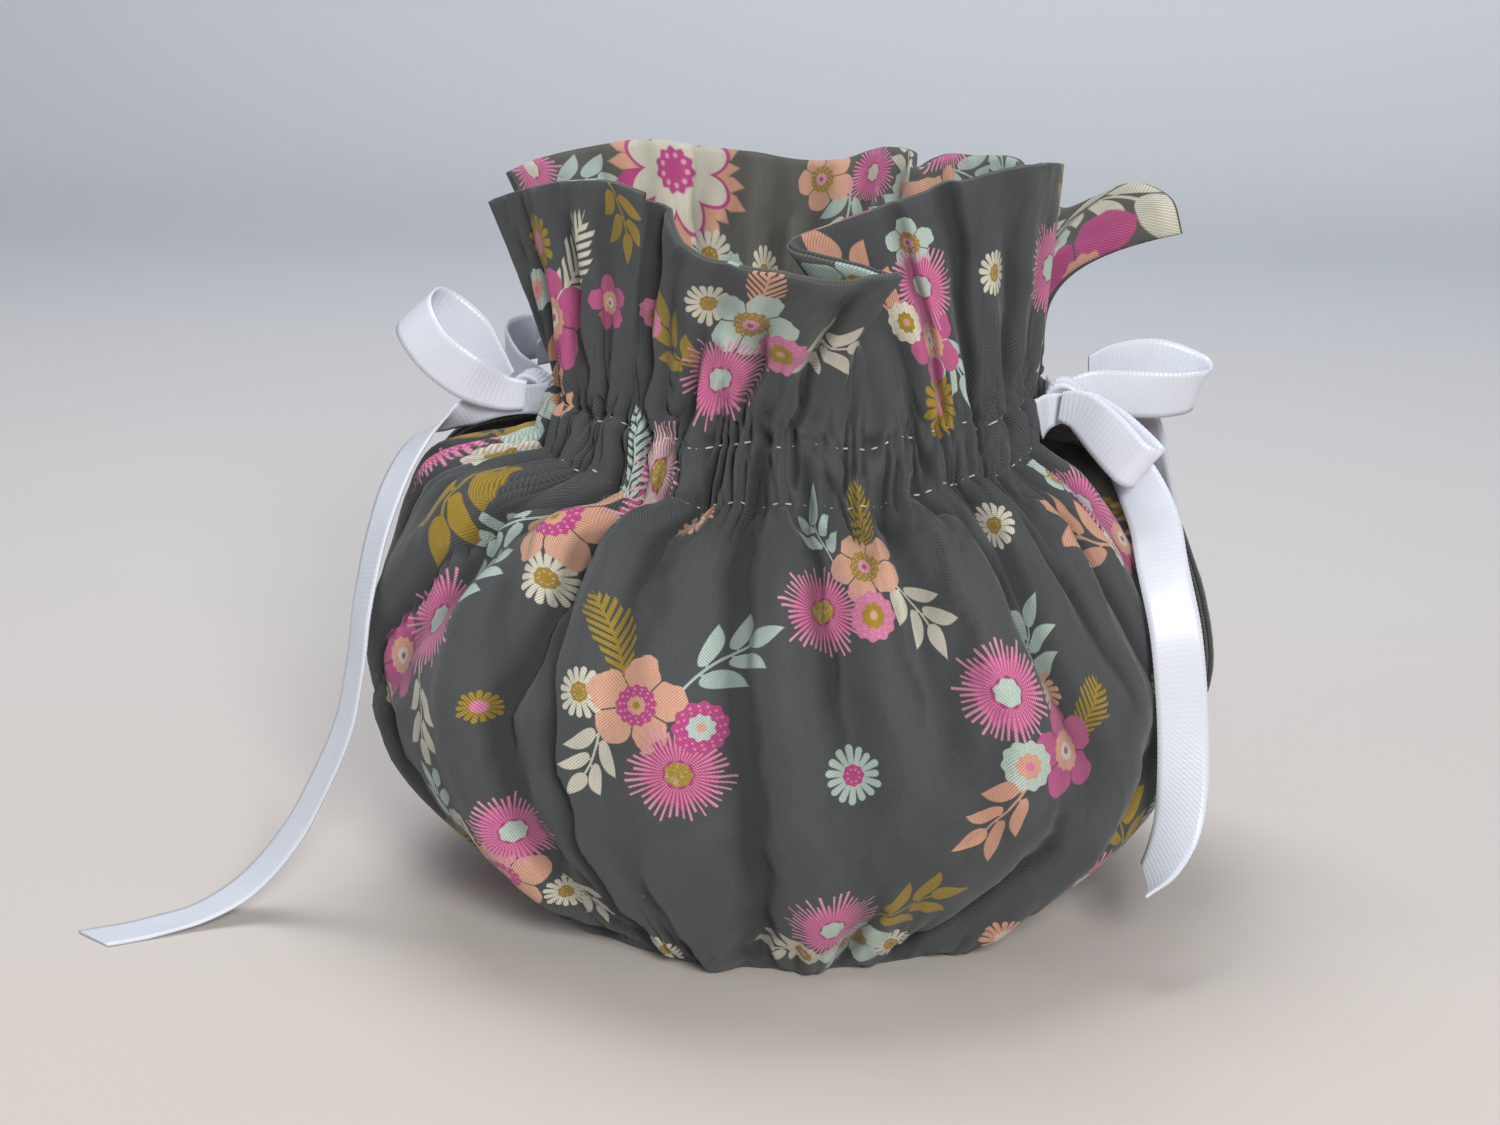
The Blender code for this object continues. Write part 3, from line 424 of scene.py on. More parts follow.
# Sharp lapped creases of the front, as FOLD_COLUMNS says, and those of the back. Their cloth slopes
# down slowly from the spout side and rises at once on the handle side.
FRONT_CREASES = (
    ("spout line", -0.200, 1.8, -0.270, 9.8, 3.3, 0.015),
    ("beside the spout line", -0.262, 2.0, -0.30, 6.0, -0.9, 0.018),
    ("lapped fold", -0.36, 1.8, -0.62, 5.0, 3.2, 0.016),
    ("short crease", -0.64, 4.4, -0.675, 7.0, 1.9, 0.015),
    ("far crease", -0.785, 4.0, -0.86, 6.6, 2.0, 0.015),
    ("shoulder line", -0.76, 6.6, -0.40, 12.0, 3.4, 0.016),
    ("upper line", -0.340, 7.4, -0.225, 12.0, 3.0, 0.014),
    ("soft line", -0.15, 9.6, -0.12, 12.0, 1.8, 0.015),
    ("middle line", 0.035, 8.4, 0.01, 12.0, 2.0, 0.014),
    ("handle line", 0.175, 8.0, 0.13, 12.0, 2.4, 0.014),
    ("second handle line", 0.30, 8.2, 0.25, 12.0, 2.2, 0.014),
    ("third handle line", 0.43, 7.6, 0.36, 12.0, 2.4, 0.014),
    ("fourth handle line", 0.565, 7.8, 0.47, 12.0, 2.4, 0.014),
    ("fifth handle line", 0.72, 8.2, 0.60, 12.0, 2.1, 0.014),
    ("last handle line", 0.83, 7.6, 0.76, 12.0, 1.8, 0.016),
    ("low middle line", 0.055, 2.0, 0.05, 7.4, 2.0, 0.015),
    ("low handle line", 0.38, 2.0, 0.53, 5.0, 2.3, 0.015),
    ("low side line", 0.63, 2.0, 0.79, 6.4, 2.3, 0.015),
    ("low belly line", -0.10, 2.0, -0.125, 5.0, 1.6, 0.014),
    ("low right line", 0.22, 2.0, 0.24, 4.0, 1.7, 0.014),
    ("low left line", -0.50, 2.0, -0.56, 4.0, 1.7, 0.014),
    ("frill valley line", -0.335, 12.8, -0.345, 17.0, 3.4, 0.020),
    ("frill spout line", -0.55, 12.8, -0.60, 15.6, 3.0, 0.020),
    ("far frill line", -0.74, 12.8, -0.81, 16.0, 2.8, 0.020),
    ("frill middle line", -0.205, 12.8, -0.165, 14.7, 3.2, 0.020),
    ("frill middle ridge", -0.13, 12.9, -0.10, 15.0, -1.8, 0.022),
    ("frill lip line", -0.055, 12.8, -0.01, 14.9, 3.4, 0.020),
    ("second lip line", 0.035, 12.8, 0.045, 14.4, 2.4, 0.016),
    ("frill fold line", 0.10, 12.8, 0.13, 15.8, 3.4, 0.020),
    ("second fold line", 0.52, 12.8, 0.55, 16.2, 3.0, 0.020),
    ("frill handle line", 0.66, 12.8, 0.68, 17.0, 3.6, 0.022),
    ("frill corner line", 0.83, 12.8, 0.85, 16.0, 2.8, 0.020),
)
BACK_CREASES = (
    ("spout line", -0.70, 2.0, -0.76, 6.8, 2.2, 0.015),
    ("long line", -0.42, 2.0, -0.49, 9.0, 2.5, 0.015),
    ("low middle line", -0.13, 2.0, -0.19, 6.6, 2.1, 0.015),
    ("handle line", 0.44, 2.0, 0.55, 7.4, 2.4, 0.015),
    ("far line", 0.72, 2.0, 0.80, 5.6, 2.0, 0.015),
    ("low line", 0.16, 2.0, 0.21, 6.2, 2.0, 0.015),
    ("upper spout line", -0.64, 7.8, -0.50, 12.0, 2.4, 0.015),
    ("upper long line", -0.32, 7.6, -0.25, 12.0, 2.2, 0.014),
    ("upper middle line", -0.09, 8.2, -0.06, 12.0, 2.1, 0.014),
    ("upper handle line", 0.09, 8.0, 0.03, 12.0, 2.4, 0.014),
    ("second upper line", 0.35, 7.8, 0.28, 12.0, 2.3, 0.014),
    ("third upper line", 0.51, 8.2, 0.43, 12.0, 2.1, 0.014),
    ("far upper line", 0.68, 7.8, 0.56, 12.0, 2.3, 0.015),
    ("frill spout line", -0.68, 12.8, -0.71, 15.8, 2.0, 0.014),
    ("frill long line", -0.42, 12.8, -0.44, 16.4, 2.2, 0.014),
    ("frill middle line", -0.16, 12.8, -0.13, 15.0, 2.0, 0.014),
    ("frill fold line", 0.10, 12.8, 0.12, 15.4, 2.0, 0.014),
    ("frill handle line", 0.36, 12.8, 0.34, 16.0, 2.2, 0.014),
    ("far frill line", 0.62, 12.8, 0.60, 15.6, 2.0, 0.014),
)
CREASE_SLOW_SIDE = 2.3
CREASE_STEEP_SIDE = 0.55
CREASE_WAVER = 0.006

# Bouquets of the print: each motif's kind, its place and size in millimetres of flat cloth, its turn
# in degrees and the number of its colour set.
MOTIF_COLUMNS = ("s", "t", "size", "turn", "tint")
PEACH_BOUQUET = (
    ("sprig", 18.0, 11.0, 12.5, -58, 0),
    ("sprig", -9.5, -12.0, 10.0, 155, 1),
    ("fern", -6.5, 13.0, 8.5, 28, 0),
    ("daisy", -11.0, 1.5, 5.2, 10, 1),
    ("petals", 0.0, 0.0, 9.8, 12, 0),
    ("aster", 8.5, -13.0, 11.0, 0, 1),
    ("button", 12.5, -3.5, 5.5, 20, 0),
)
ROSE_BOUQUET = (
    ("sprig", -6.0, 12.5, 9.5, 14, 0),
    ("sprig", 16.5, -8.5, 11.0, -145, 1),
    ("fern", 7.0, 15.0, 8.0, -10, 0),
    ("petals", 5.0, 3.0, 9.2, 40, 3),
    ("aster", -6.5, -7.0, 10.6, 15, 1),
    ("button", 5.5, -8.5, 5.6, 0, 1),
)
PLUM_BOUQUET = (
    ("sprig", 10.5, 12.0, 11.0, -18, 0),
    ("sprig", -9.5, -19.0, 11.5, 132, 2),
    ("fern", 18.5, -3.0, 7.5, -40, 0),
    ("petals", 8.5, -8.5, 10.0, 20, 2),
    ("aster", -4.5, 5.0, 10.8, 5, 0),
    ("button", -2.5, -9.2, 5.4, 15, 2),
    ("daisy", 9.0, 3.0, 4.2, 0, 2),
)
MINT_BOUQUET = (
    ("sprig", 16.5, 4.5, 11.5, -62, 3),
    ("sprig", -12.0, -10.0, 8.5, 115, 1),
    ("petals", 5.5, -9.5, 9.2, 30, 1),
    ("aster", -1.5, 2.0, 10.6, 40, 0),
    ("daisy", 15.5, -9.0, 5.0, 20, 1),
    ("button", -7.0, -9.0, 4.4, 0, 3),
)
FRILL_BOUQUET = (
    ("sprig", 18.5, -2.0, 11.5, -76, 1),
    ("sprig", -18.5, -2.5, 11.5, 50, 3),
    ("fern", 1.5, 15.5, 7.5, -4, 3),
    ("daisy", -9.5, 9.5, 5.4, 15, 1),
    ("petals", 0.5, 5.5, 9.6, 0, 1),
    ("aster", -4.5, -8.5, 11.2, 12, 0),
    ("button", 8.0, -1.5, 5.8, 8, 1),
)
SHOULDER_BOUQUET = (
    ("sprig", -17.0, -4.0, 10.5, 128, 0),
    ("daisy", 3.0, -12.0, 5.4, 0, 1),
    ("fern", -1.0, 15.0, 8.0, 5, 2),
    ("petals", 0.0, 0.0, 10.6, 30, 0),
    ("aster", 9.5, 14.0, 10.4, 0, 3),
)
CORNER_BOUQUET = (
    ("fern", 12.5, 2.0, 10.0, -38, 1),
    ("sprig", -4.0, -18.0, 9.0, 175, 2),
    ("petals", 4.0, -8.0, 9.4, 15, 2),
    ("daisy", 0.0, 6.0, 6.4, 0, 3),
    ("button", -8.5, -3.5, 4.4, 0, 2),
)
TALL_BOUQUET = (
    ("sprig", -11.0, 9.0, 14.0, 14, 2),
    ("sprig", 6.0, -14.0, 9.0, -150, 0),
    ("petals", 3.0, 11.5, 6.0, 10, 1),
    ("petals", 1.0, -9.0, 8.4, 35, 2),
    ("aster", 3.0, 2.0, 9.8, 0, 0),
    ("daisy", -1.0, -20.0, 6.0, 0, 3),
    ("button", -6.0, -3.0, 4.6, 0, 3),
)
BURST_BOUQUET = (
    ("sprig", 24.0, 2.0, 12.0, -35, 1),
    ("sprig", -20.0, -9.0, 13.0, 100, 0),
    ("fern", -20.0, 8.0, 10.0, 60, 0),
    ("burst", 0.0, 0.0, 16.0, 0, 0),
    ("daisy", 6.0, -19.0, 6.4, 0, 1),
    ("button", 19.0, -13.0, 6.0, 0, 2),
)
BUD_BOUQUET = (
    ("sprig", -15.0, -5.0, 13.0, 70, 0),
    ("sprig", 13.0, -13.0, 13.0, -150, 1),
    ("sprig", 20.0, 6.0, 12.0, -60, 0),
    ("petals", 0.0, 0.0, 10.5, 20, 3),
    ("aster", -4.0, -17.0, 11.0, 0, 2),
    ("button", 12.0, -1.5, 6.4, 0, 2),
)
SIDE_BOUQUET = (
    ("sprig", 6.0, -17.0, 11.0, 190, 1),
    ("sprig", 12.0, 14.0, 10.0, -30, 0),
    ("petals", -9.5, -8.0, 9.4, 30, 2),
    ("aster", 1.0, 2.0, 11.6, 0, 0),
    ("button", -15.0, -19.0, 4.6, 0, 3),
)
LOW_BOUQUET = (
    ("sprig", -15.0, 14.0, 10.5, -12, 0),
    ("sprig", 14.0, -12.0, 8.5, 190, 1),
    ("petals", 0.0, 0.0, 10.4, 0, 0),
    ("aster", 6.5, 10.5, 10.0, 0, 0),
    ("button", -8.5, 9.0, 5.0, 0, 3),
    ("daisy", 10.0, -9.0, 4.6, 0, 1),
)
BOUQUETS = {
    "side": SIDE_BOUQUET,
    "low": LOW_BOUQUET,
    "peach": PEACH_BOUQUET,
    "rose": ROSE_BOUQUET,
    "plum": PLUM_BOUQUET,
    "mint": MINT_BOUQUET,
    "frill": FRILL_BOUQUET,
    "shoulder": SHOULDER_BOUQUET,
    "corner": CORNER_BOUQUET,
    "tall": TALL_BOUQUET,
    "burst": BURST_BOUQUET,
    "bud": BUD_BOUQUET,
}

# Where bouquets lie on each cloth: s across from the middle, t up from the hem's inner edge.
BOUQUET_COLUMNS = ("s", "t", "scale", "turn")
FRONT_BOUQUETS = (
    ("peach", -16.0, 76.0, 0.95, 0),
    ("rose", 27.0, 103.0, 0.98, 0),
    ("plum", 63.0, 73.0, 1.0, 0),
    ("mint", 23.0, 28.0, 1.0, 0),
    ("side", -73.0, 81.0, 1.0, 0),
    ("low", -52.0, 35.0, 0.88, 0),
    ("rose", -108.0, 18.0, 1.0, -40),
    ("shoulder", -46.0, 110.5, 1.05, 0),
    ("mint", -116.0, 113.0, 1.0, 150),
    ("tall", 121.0, 104.0, 1.0, 40),
    ("mint", 104.0, 24.0, 0.95, 90),
    ("corner", -101.0, 157.0, 1.15, 0),
    ("frill", -7.0, 155.0, 1.08, 0),
    ("tall", 70.0, 156.0, 1.0, 0),
    ("mint", 132.0, 156.0, 1.0, 60),
)
BACK_BOUQUETS = (
    ("rose", -14.0, 60.0, 1.0, 120),
    ("peach", 34.0, 88.0, 1.0, 60),
    ("mint", -62.0, 88.0, 1.0, -30),
    ("plum", 78.0, 48.0, 1.0, 90),
    ("plum", -102.0, 46.0, 1.0, 10),
    ("peach", 16.0, 26.0, 1.0, 200),
    ("tall", 114.0, 98.0, 1.0, 140),
    ("rose", -56.0, 26.0, 1.0, 30),
    ("shoulder", -114.0, 108.0, 1.0, 180),
    ("plum", -24.0, 116.0, 0.9, 240),
    ("corner", 70.0, 88.0, 0.9, 60),
    ("frill", -74.0, 154.0, 1.0, 190),
    ("mint", -6.0, 156.0, 1.0, 20),
    ("tall", 58.0, 152.0, 1.0, 180),
    ("corner", 108.0, 152.0, 1.0, 30),
    ("rose", 112.0, 18.0, 0.9, 10),
)
FRONT_LINING_BOUQUETS = (
    ("burst", -98.0, 158.0, 1.0, 40),
    ("bud", -44.0, 164.0, 1.0, 0),
    ("burst", 6.0, 146.0, 1.0, 190),
    ("burst", 98.0, 152.0, 1.0, 200),
    ("bud", -74.0, 100.0, 1.0, 100),
    ("burst", 28.0, 96.0, 1.0, 0),
    ("bud", 92.0, 92.0, 1.0, 240),
    ("burst", -30.0, 44.0, 1.0, 60),
    ("bud", 52.0, 36.0, 1.0, 20),
)
BACK_LINING_BOUQUETS = (
    ("bud", -6.0, 172.0, 0.8, 100),
    ("bud", 44.0, 166.0, 0.9, 180),
    ("bud", 82.0, 156.0, 0.9, 90),
    ("bud", -118.0, 158.0, 1.0, 200),
    ("burst", -30.0, 128.0, 1.0, 160),
    ("burst", 46.0, 116.0, 1.0, 250),
    ("bud", -92.0, 96.0, 1.0, 60),
    ("burst", 100.0, 88.0, 1.0, 10),
    ("bud", 4.0, 70.0, 1.0, 130),
    ("burst", -58.0, 40.0, 1.0, 60),
    ("bud", 62.0, 36.0, 1.0, 20),
)

# Flat height of the casing's top, and how much broader the motifs above it are.
CASING_HEIGHT = 132.0
FRILL_STRETCH = 1.3

# Motifs that lie alone between the bouquets, as MOTIF_COLUMNS says.
FRONT_SINGLES = (
    ("daisy", 25.0, 64.0, 5.6, 0, 0),
    ("daisy", -14.0, 117.0, 4.6, 0, 2),
    ("daisy", 75.0, 111.0, 5.6, 0, 1),
    ("daisy", 71.0, 18.0, 5.0, 0, 2),
    ("sprig", -78.0, 108.0, 15.0, 188, 3),
    ("petals", -37.0, 124.0, 8.0, 10, 2),
    ("daisy", 113.0, 68.0, 5.0, 0, 1),
    ("sprig", -62.0, 170.0, 9.0, 200, 3),
    ("petals", -66.0, 152.0, 5.6, 30, 2),
    ("button", -45.0, 153.0, 3.6, 0, 1),
    ("sprig", -94.0, 134.0, 8.0, 20, 2),
    ("daisy", 101.0, 157.0, 4.8, 0, 1),
    ("daisy", -51.0, 70.0, 3.4, 0, 3),
    ("fern", 112.0, 44.0, 9.0, 150, 2),
    ("daisy", -22.0, 14.0, 4.6, 0, 1),
)
BACK_SINGLES = (
    ("daisy", 6.0, 88.0, 5.4, 0, 0),
    ("daisy", 66.0, 116.0, 5.0, 0, 1),
    ("sprig", -34.0, 96.0, 11.0, 130, 3),
    ("daisy", -78.0, 60.0, 4.8, 0, 2),
    ("sprig", 44.0, 54.0, 11.0, -20, 2),
    ("daisy", -30.0, 36.0, 4.8, 0, 1),
    ("daisy", 96.0, 74.0, 4.8, 0, 0),
    ("daisy", 28.0, 148.0, 4.8, 0, 1),
    ("sprig", -38.0, 158.0, 10.0, 40, 1),
    ("daisy", -106.0, 136.0, 4.8, 0, 0),
)
FRONT_LINING_SINGLES = (
    ("petals", 34.0, 172.0, 9.0, 10, 1),
    ("petals", 58.0, 174.0, 9.0, 40, 2),
)
BACK_LINING_SINGLES = (
    ("burst", -64.0, 170.0, 22.0, 0, 0),
    ("petals", 138.0, 164.0, 14.0, 10, 2),
    ("sprig", 118.0, 171.0, 15.0, -60, 1),
    ("button", 118.0, 158.0, 5.4, 0, 2),
    ("daisy", -52.0, 151.0, 6.4, 0, 1),
)

# Kinds of motif, from the lowest of the print to the topmost.
MOTIFS = ("sprig", "fern", "burst", "daisy", "petals", "aster", "button")

# Elastic gathers between the casing's stitch rows: their spacing on the flat cloth, their depth and
# slant, and how many rows they run on below and above the casing. The casing puffs out between the
# rows of stitches, is grooved along them, and sways up and down.
PUCKER_PITCH = 6.4
CASING_PUCKER_DEPTH = 3.7
PUCKER_SLANT = 1.1
PUCKER_RUN_DOWN = 1.0
PUCKER_RUN_UP = 1.2
CASING_PUFF = 1.0
SEAM_GROOVE = 0.7
GROOVE_WIDTH = 0.08
CASING_SWAY = 1.3

# The running stitches: the rows they lie on, and their spacing, length, width and height.
STITCH_ROWS = (12.03, 12.97)
STITCH_PITCH = 4.7
STITCH_LENGTH = 3.1
STITCH_WIDTH = 0.40
STITCH_HEIGHT = 0.34
STITCH_POINTS = 7

# View of the camera: degrees round from the front and above the horizon, the distance, and how
# far to the left of and below the middle of the body it aims.
VIEW_AROUND = 9.0
VIEW_ABOVE = 14.0
VIEW_DISTANCE = 550.0
BODY_MIDDLE = (24.95, 0.0, 75.0)
AIM_LEFT = 8.84
AIM_BELOW = 4.95
LENS = 62.7

# Colours of the cloth, thread, ribbon and paper, as red, green and blue from 0 to 255.
CHARCOAL = (62, 65, 67)
LINING_GREY = (79, 79, 75)
MAGENTA = (155, 60, 111)
DEEP_PINK = (138, 46, 92)
PINK = (176, 104, 136)
PALE_PINK = (180, 134, 150)
PEACH = (178, 134, 113)
MINT = (152, 169, 162)
CREAM = (176, 173, 160)
MUSTARD = (134, 112, 38)
DARK_MUSTARD = (116, 95, 30)
THREAD = (196, 200, 204)
DARK_THREAD = (150, 154, 158)
RIBBON_WHITE = (204, 209, 220)
WARM_PAPER = (204, 192, 182)
COOL_PAPER = (196, 199, 204)
# The far paper is painted paler, as painted light on the bend and the wall behind.
PAINTED_LIGHT_FAR_PAPER = (232, 234, 238)


def table(rows, columns):
    """The numbers of a table, one array for each named column. A first cell in words is only a label."""
    values = np.array([[cell for cell in row if not isinstance(cell, str)] for row in rows], float)
    return dict(zip(columns, values.T))


def number_rows(rows, columns):
    """The numbers of a table row by row, in the order of its named columns."""
    return zip(*table(rows, columns).values())


def glide(knots, values, at):
    """Smooth curve through the values at the knots (cubic Hermite), read at the places given."""
    slopes = np.gradient(values, knots)
    index = np.clip(np.searchsorted(knots, at) - 1, 0, len(knots) - 2)
    span = knots[index + 1] - knots[index]
    s = (at - knots[index]) / span
    rise = s * s * (3 - 2 * s)
    start = s * (1 - s) ** 2 * span
    end = s * s * (s - 1) * span
    between = values[index] * (1 - rise) + values[index + 1] * rise
    return between + slopes[index] * start + slopes[index + 1] * end


def unit(vectors):
    """The vectors at length one."""
    return vectors / np.maximum(np.linalg.norm(vectors, axis=-1, keepdims=True), 1e-9)


def wander(s, length, seed):
    """A smooth wavering line between about -1 and 1: three sines whose lengths don't repeat together."""
    turn = 2 * np.pi * s / length
    short = 0.6 * np.sin(2.31 * turn + 2.7 * seed) + 0.4 * np.sin(3.93 * turn + seed * seed)
    return (np.sin(turn + seed) + short) / 1.6


def placed(points):
    """Table millimetres as metres in the frame of the whole part."""
    return (points + ORIGIN_SHIFT) * MM


# Shapes of the panels


def casing_and_body(sections, side, across, row):
    """Quarter ellipses on each side of the panel's middle, whose reach glides from section to section. With
    a = across * 90 degrees: x = reach sin(a), y = gap + (middle - gap) cos(a), z = height + rise sin(a)^2."""
    marks = np.arange(len(sections), dtype=float)
    columns = table(sections, SECTION_COLUMNS)
    read = {name: glide(marks, columns[name], np.minimum(row, CASING_TOP)) for name in SECTION_COLUMNS}
    angle = across * np.pi / 2
    reach = np.where(across < 0, read["spout"], read["handle"])
    gap = np.where(across < 0, read["spout_gap"], read["handle_gap"])
    x = reach * np.sin(angle)
    y = side * (gap + (read["middle"] - gap) * np.cos(angle))
    z = read["height"] + read["rise"] * np.sin(angle) ** 2
    return np.stack([x, y, z], axis=-1)


def panel_base(sections, rim, side, across, row):
    """Body and casing, then the frill: a point of it lies a part of the way from the casing's top to the
    rim, upwards by part and sideways by part to the power lean."""
    points = casing_and_body(sections, side, across, row)
    edge = table(rim, RIM_COLUMNS)
    ends = np.stack([glide(edge["across"], edge[name], across) for name in ("x", "y", "z")], axis=-1)
    lean = glide(edge["across"], edge["lean"], across)
    heights = np.array((0.0, *FRILL_HEIGHTS))
    frill_rows = CASING_TOP + np.arange(len(heights), dtype=float)
    part = np.clip(glide(frill_rows, heights, np.maximum(row, CASING_TOP)), 0, 1)
    weight = np.stack([part ** lean, part ** lean, part], axis=-1)
    return points + (ends - points) * weight


def gather_depth(gathers, across, row):
    """Depth of the neck's gathers: narrow valleys at the casing that spread and fade away from it."""
    below = np.maximum(CASING_FOOT - row, 0) / GATHER_REACH_DOWN
    above = np.maximum(row - CASING_TOP, 0) / GATHER_REACH_UP
    away = below + above
    width = GATHER_WIDTH * (1 + GATHER_SPREAD * away)
    fade = np.clip(1 - away, 0, 1) * (1 + GATHER_GROWTH * away)
    depth = np.zeros_like(across)
    for centre, deep in number_rows(gathers, GATHER_COLUMNS):
        depth += deep * np.exp(-((across - centre) / width) ** 2)
    return depth * fade


def fold_line(across_low, low, across_high, high, row):
    """The middle of a fold at each row, and how full it is there: it fades at both ends."""
    progress = np.clip((row - low + FOLD_FADE) / (high - low + 2 * FOLD_FADE), 0, 1)
    centre = across_low + (across_high - across_low) * np.clip((row - low) / (high - low), 0, 1)
    return centre, np.sin(np.pi * progress) ** FOLD_FULLNESS


def fold_depth(folds, across, row):
    """Depth of soft folds: each is a valley, or a ridge, along its line."""
    depth = np.zeros_like(across)
    for across_low, low, across_high, high, deep, width in number_rows(folds, FOLD_COLUMNS):
        centre, full = fold_line(across_low, low, across_high, high, row)
        depth += deep * full * np.exp(-((across - centre) / width) ** 2)
    return depth


def hem_pucker(across, row):
    """Small waves that the hem's elastic draws in, strongest just above the floor."""
    strength = np.exp(-((row - PUCKER_ROW) / PUCKER_SPREAD) ** 2)
    drift = PUCKER_DRIFT * np.sin(PUCKER_DRIFT_TURNS * across)
    broad = 0.5 + 0.5 * np.cos(across * np.pi * HEM_PUCKERS + drift)
    s = across * HALF_WIDTH
    narrow = (1 - np.abs(np.sin(np.pi * (s / FINE_HEM_PITCH + 0.5 * wander(s, 47.0, 2.0))))) ** 1.5
    fine = FINE_HEM_DEPTH * narrow * (0.6 + 0.4 * wander(s, 31.0, 5.0))
    return strength * (HEM_PUCKER_DEPTH * broad + fine)


def crease_depth(creases, across, row):
    """Depth of lapped creases: each wavers along its line, with a long slope on one side and a short one
    on the other."""
    depth = np.zeros_like(across)
    for across_low, low, across_high, high, deep, width in number_rows(creases, FOLD_COLUMNS):
        centre, full = fold_line(across_low, low, across_high, high, row)
        bent = across - centre - CREASE_WAVER * np.sin(4 * row + 20 * across_low)
        side = np.where(bent < 0, CREASE_SLOW_SIDE, CREASE_STEEP_SIDE) * width
        depth += deep * full * np.exp(-(bent / side) ** 2)
    return depth


def valleys(phase):
    """Narrow valleys at whole numbers with round crests between them: 1 - |sin(pi phase)|^0.9."""
    return 1 - np.abs(np.sin(np.pi * phase)) ** 0.9


def casing_pucker(across, row, seed):
    """Two sets of slanting valleys that take turns along the casing, so that they fork and merge. Their
    spacing, depth and length waver. They are deepest between the stitch rows, where the casing also puffs
    out, and each row of stitches pinches it in."""
    s = across * HALF_WIDTH
    middle = row - (CASING_FOOT + CASING_TOP) / 2
    straight = s / PUCKER_PITCH + 0.8 * wander(s, 47.0, seed)
    first = straight + PUCKER_SLANT * middle * wander(s, 52.0, seed + 5)
    second = 1.37 * straight + 0.4 - PUCKER_SLANT * middle * wander(s, 39.0, seed + 6)
    share = np.clip(0.5 + 1.6 * wander(s + 16 * middle, 43.0, seed + 1), 0, 1)
    valley = valleys(first) * share + 0.8 * valleys(second) * (1 - share)
    strength = 0.80 + 0.28 * wander(s, 33.0, seed + 2)
    reach = np.clip(0.7 + 0.7 * wander(s, 21.0, seed + 3), 0.25, 1.7)
    below = np.maximum(CASING_FOOT - row, 0) / (PUCKER_RUN_DOWN * reach)
    above = np.maximum(row - CASING_TOP, 0) / (PUCKER_RUN_UP * reach)
    envelope = np.exp(-(below + above) ** 1.2)
    inside = np.clip((row - CASING_FOOT) * (CASING_TOP - row) * 4, 0, 1) ** 0.7
    grooves = sum(np.exp(-((row - stitches) / GROOVE_WIDTH) ** 2) for stitches in STITCH_ROWS)
    return CASING_PUCKER_DEPTH * valley * strength * envelope - CASING_PUFF * inside + SEAM_GROOVE * grooves


def cloth_ripple(across, row, seed):
    """The unevenness of hand-sewn cotton: long low waves, and soft upright bands between its gathers."""
    s = across * HALF_WIDTH
    slow = 0.30 * wander(s + 9 * wander(row * 9, 70.0, seed), 27.0, seed)
    slow += 0.18 * wander(row * 11 + 0.4 * s, 33.0, seed)
    bands = 0.34 * wander(s + 5 * wander(row * 7, 50.0, seed + 2), 16.0, seed + 3)
    bands *= 0.6 + 0.4 * wander(row * 9 + s, 60.0, seed)
    calm_frill = 1 - 0.6 * np.clip((row - CASING_TOP) / 1.5, 0, 1)
    return slow + bands * calm_frill


PANELS = {
    "front": dict(
        side=-1, sections=FRONT_SECTIONS, rim=FRONT_RIM, gathers=FRONT_GATHERS, folds=FRONT_FOLDS,
        creases=FRONT_CREASES, seed=1.0,
    ),
    "back": dict(
        side=1, sections=BACK_SECTIONS, rim=BACK_RIM, gathers=BACK_GATHERS, folds=BACK_FOLDS,
        creases=BACK_CREASES, seed=4.0,
    ),
}


def panel_surface(name, across, row):
    """Middle surface of a panel with every fold, the outward direction along which it was folded, and how
    deep in a hollow each point lies."""
    panel = PANELS[name]
    side = panel["side"]
    base = panel_base(panel["sections"], panel["rim"], side, across, row)
    normal = unit(np.cross(np.gradient(base, axis=1), np.gradient(base, axis=0)) * -side)
    calm_edge = np.clip((1 - np.abs(across)) / CALM_EDGE, 0, 1)
    depth = gather_depth(panel["gathers"], across, row)
    depth += fold_depth(panel["folds"], across, row) + crease_depth(panel["creases"], across, row)
    depth += hem_pucker(across, row) + cloth_ripple(across, row, panel["seed"])
    off_floor = np.clip((row - HEM_TURN) / 0.5 + 1, 0, 1) * (row >= HEM_TURN - 0.5)
    pucker = casing_pucker(across, row, panel["seed"])
    depth = depth * calm_edge * off_floor + pucker * np.clip(calm_edge + 0.3, 0, 1)
    points = base - normal * depth[..., None]
    near_casing = np.exp(-((row - (CASING_FOOT + CASING_TOP) / 2) / 1.6) ** 2)
    sway = CASING_SWAY * wander(across * HALF_WIDTH, 63.0, panel["seed"]) * near_casing
    points[..., 2] += sway * calm_edge
    return points, normal, hollows(depth)


def hollows(depth):
    """How far each point lies below the mean of the points beside it in its row, in millimetres."""
    reach = max(depth.shape[1] // 30, 1)
    padded = np.pad(depth, ((0, 0), (reach + 1, reach)), mode="edge")
    total = np.cumsum(padded, axis=1)
    return depth - (total[:, 2 * reach + 1:] - total[:, :-2 * reach - 1]) / (2 * reach + 1)


def panel_rows():
    """Row numbers of the visible grid, closer together where the cloth is gathered."""
    spans = number_rows(PANEL_ROWS, ROW_COLUMNS)
    rows = [np.linspace(low, high, int(count), endpoint=False) for low, high, count in spans]
    return np.concatenate(rows + [[LAST_ROW]])


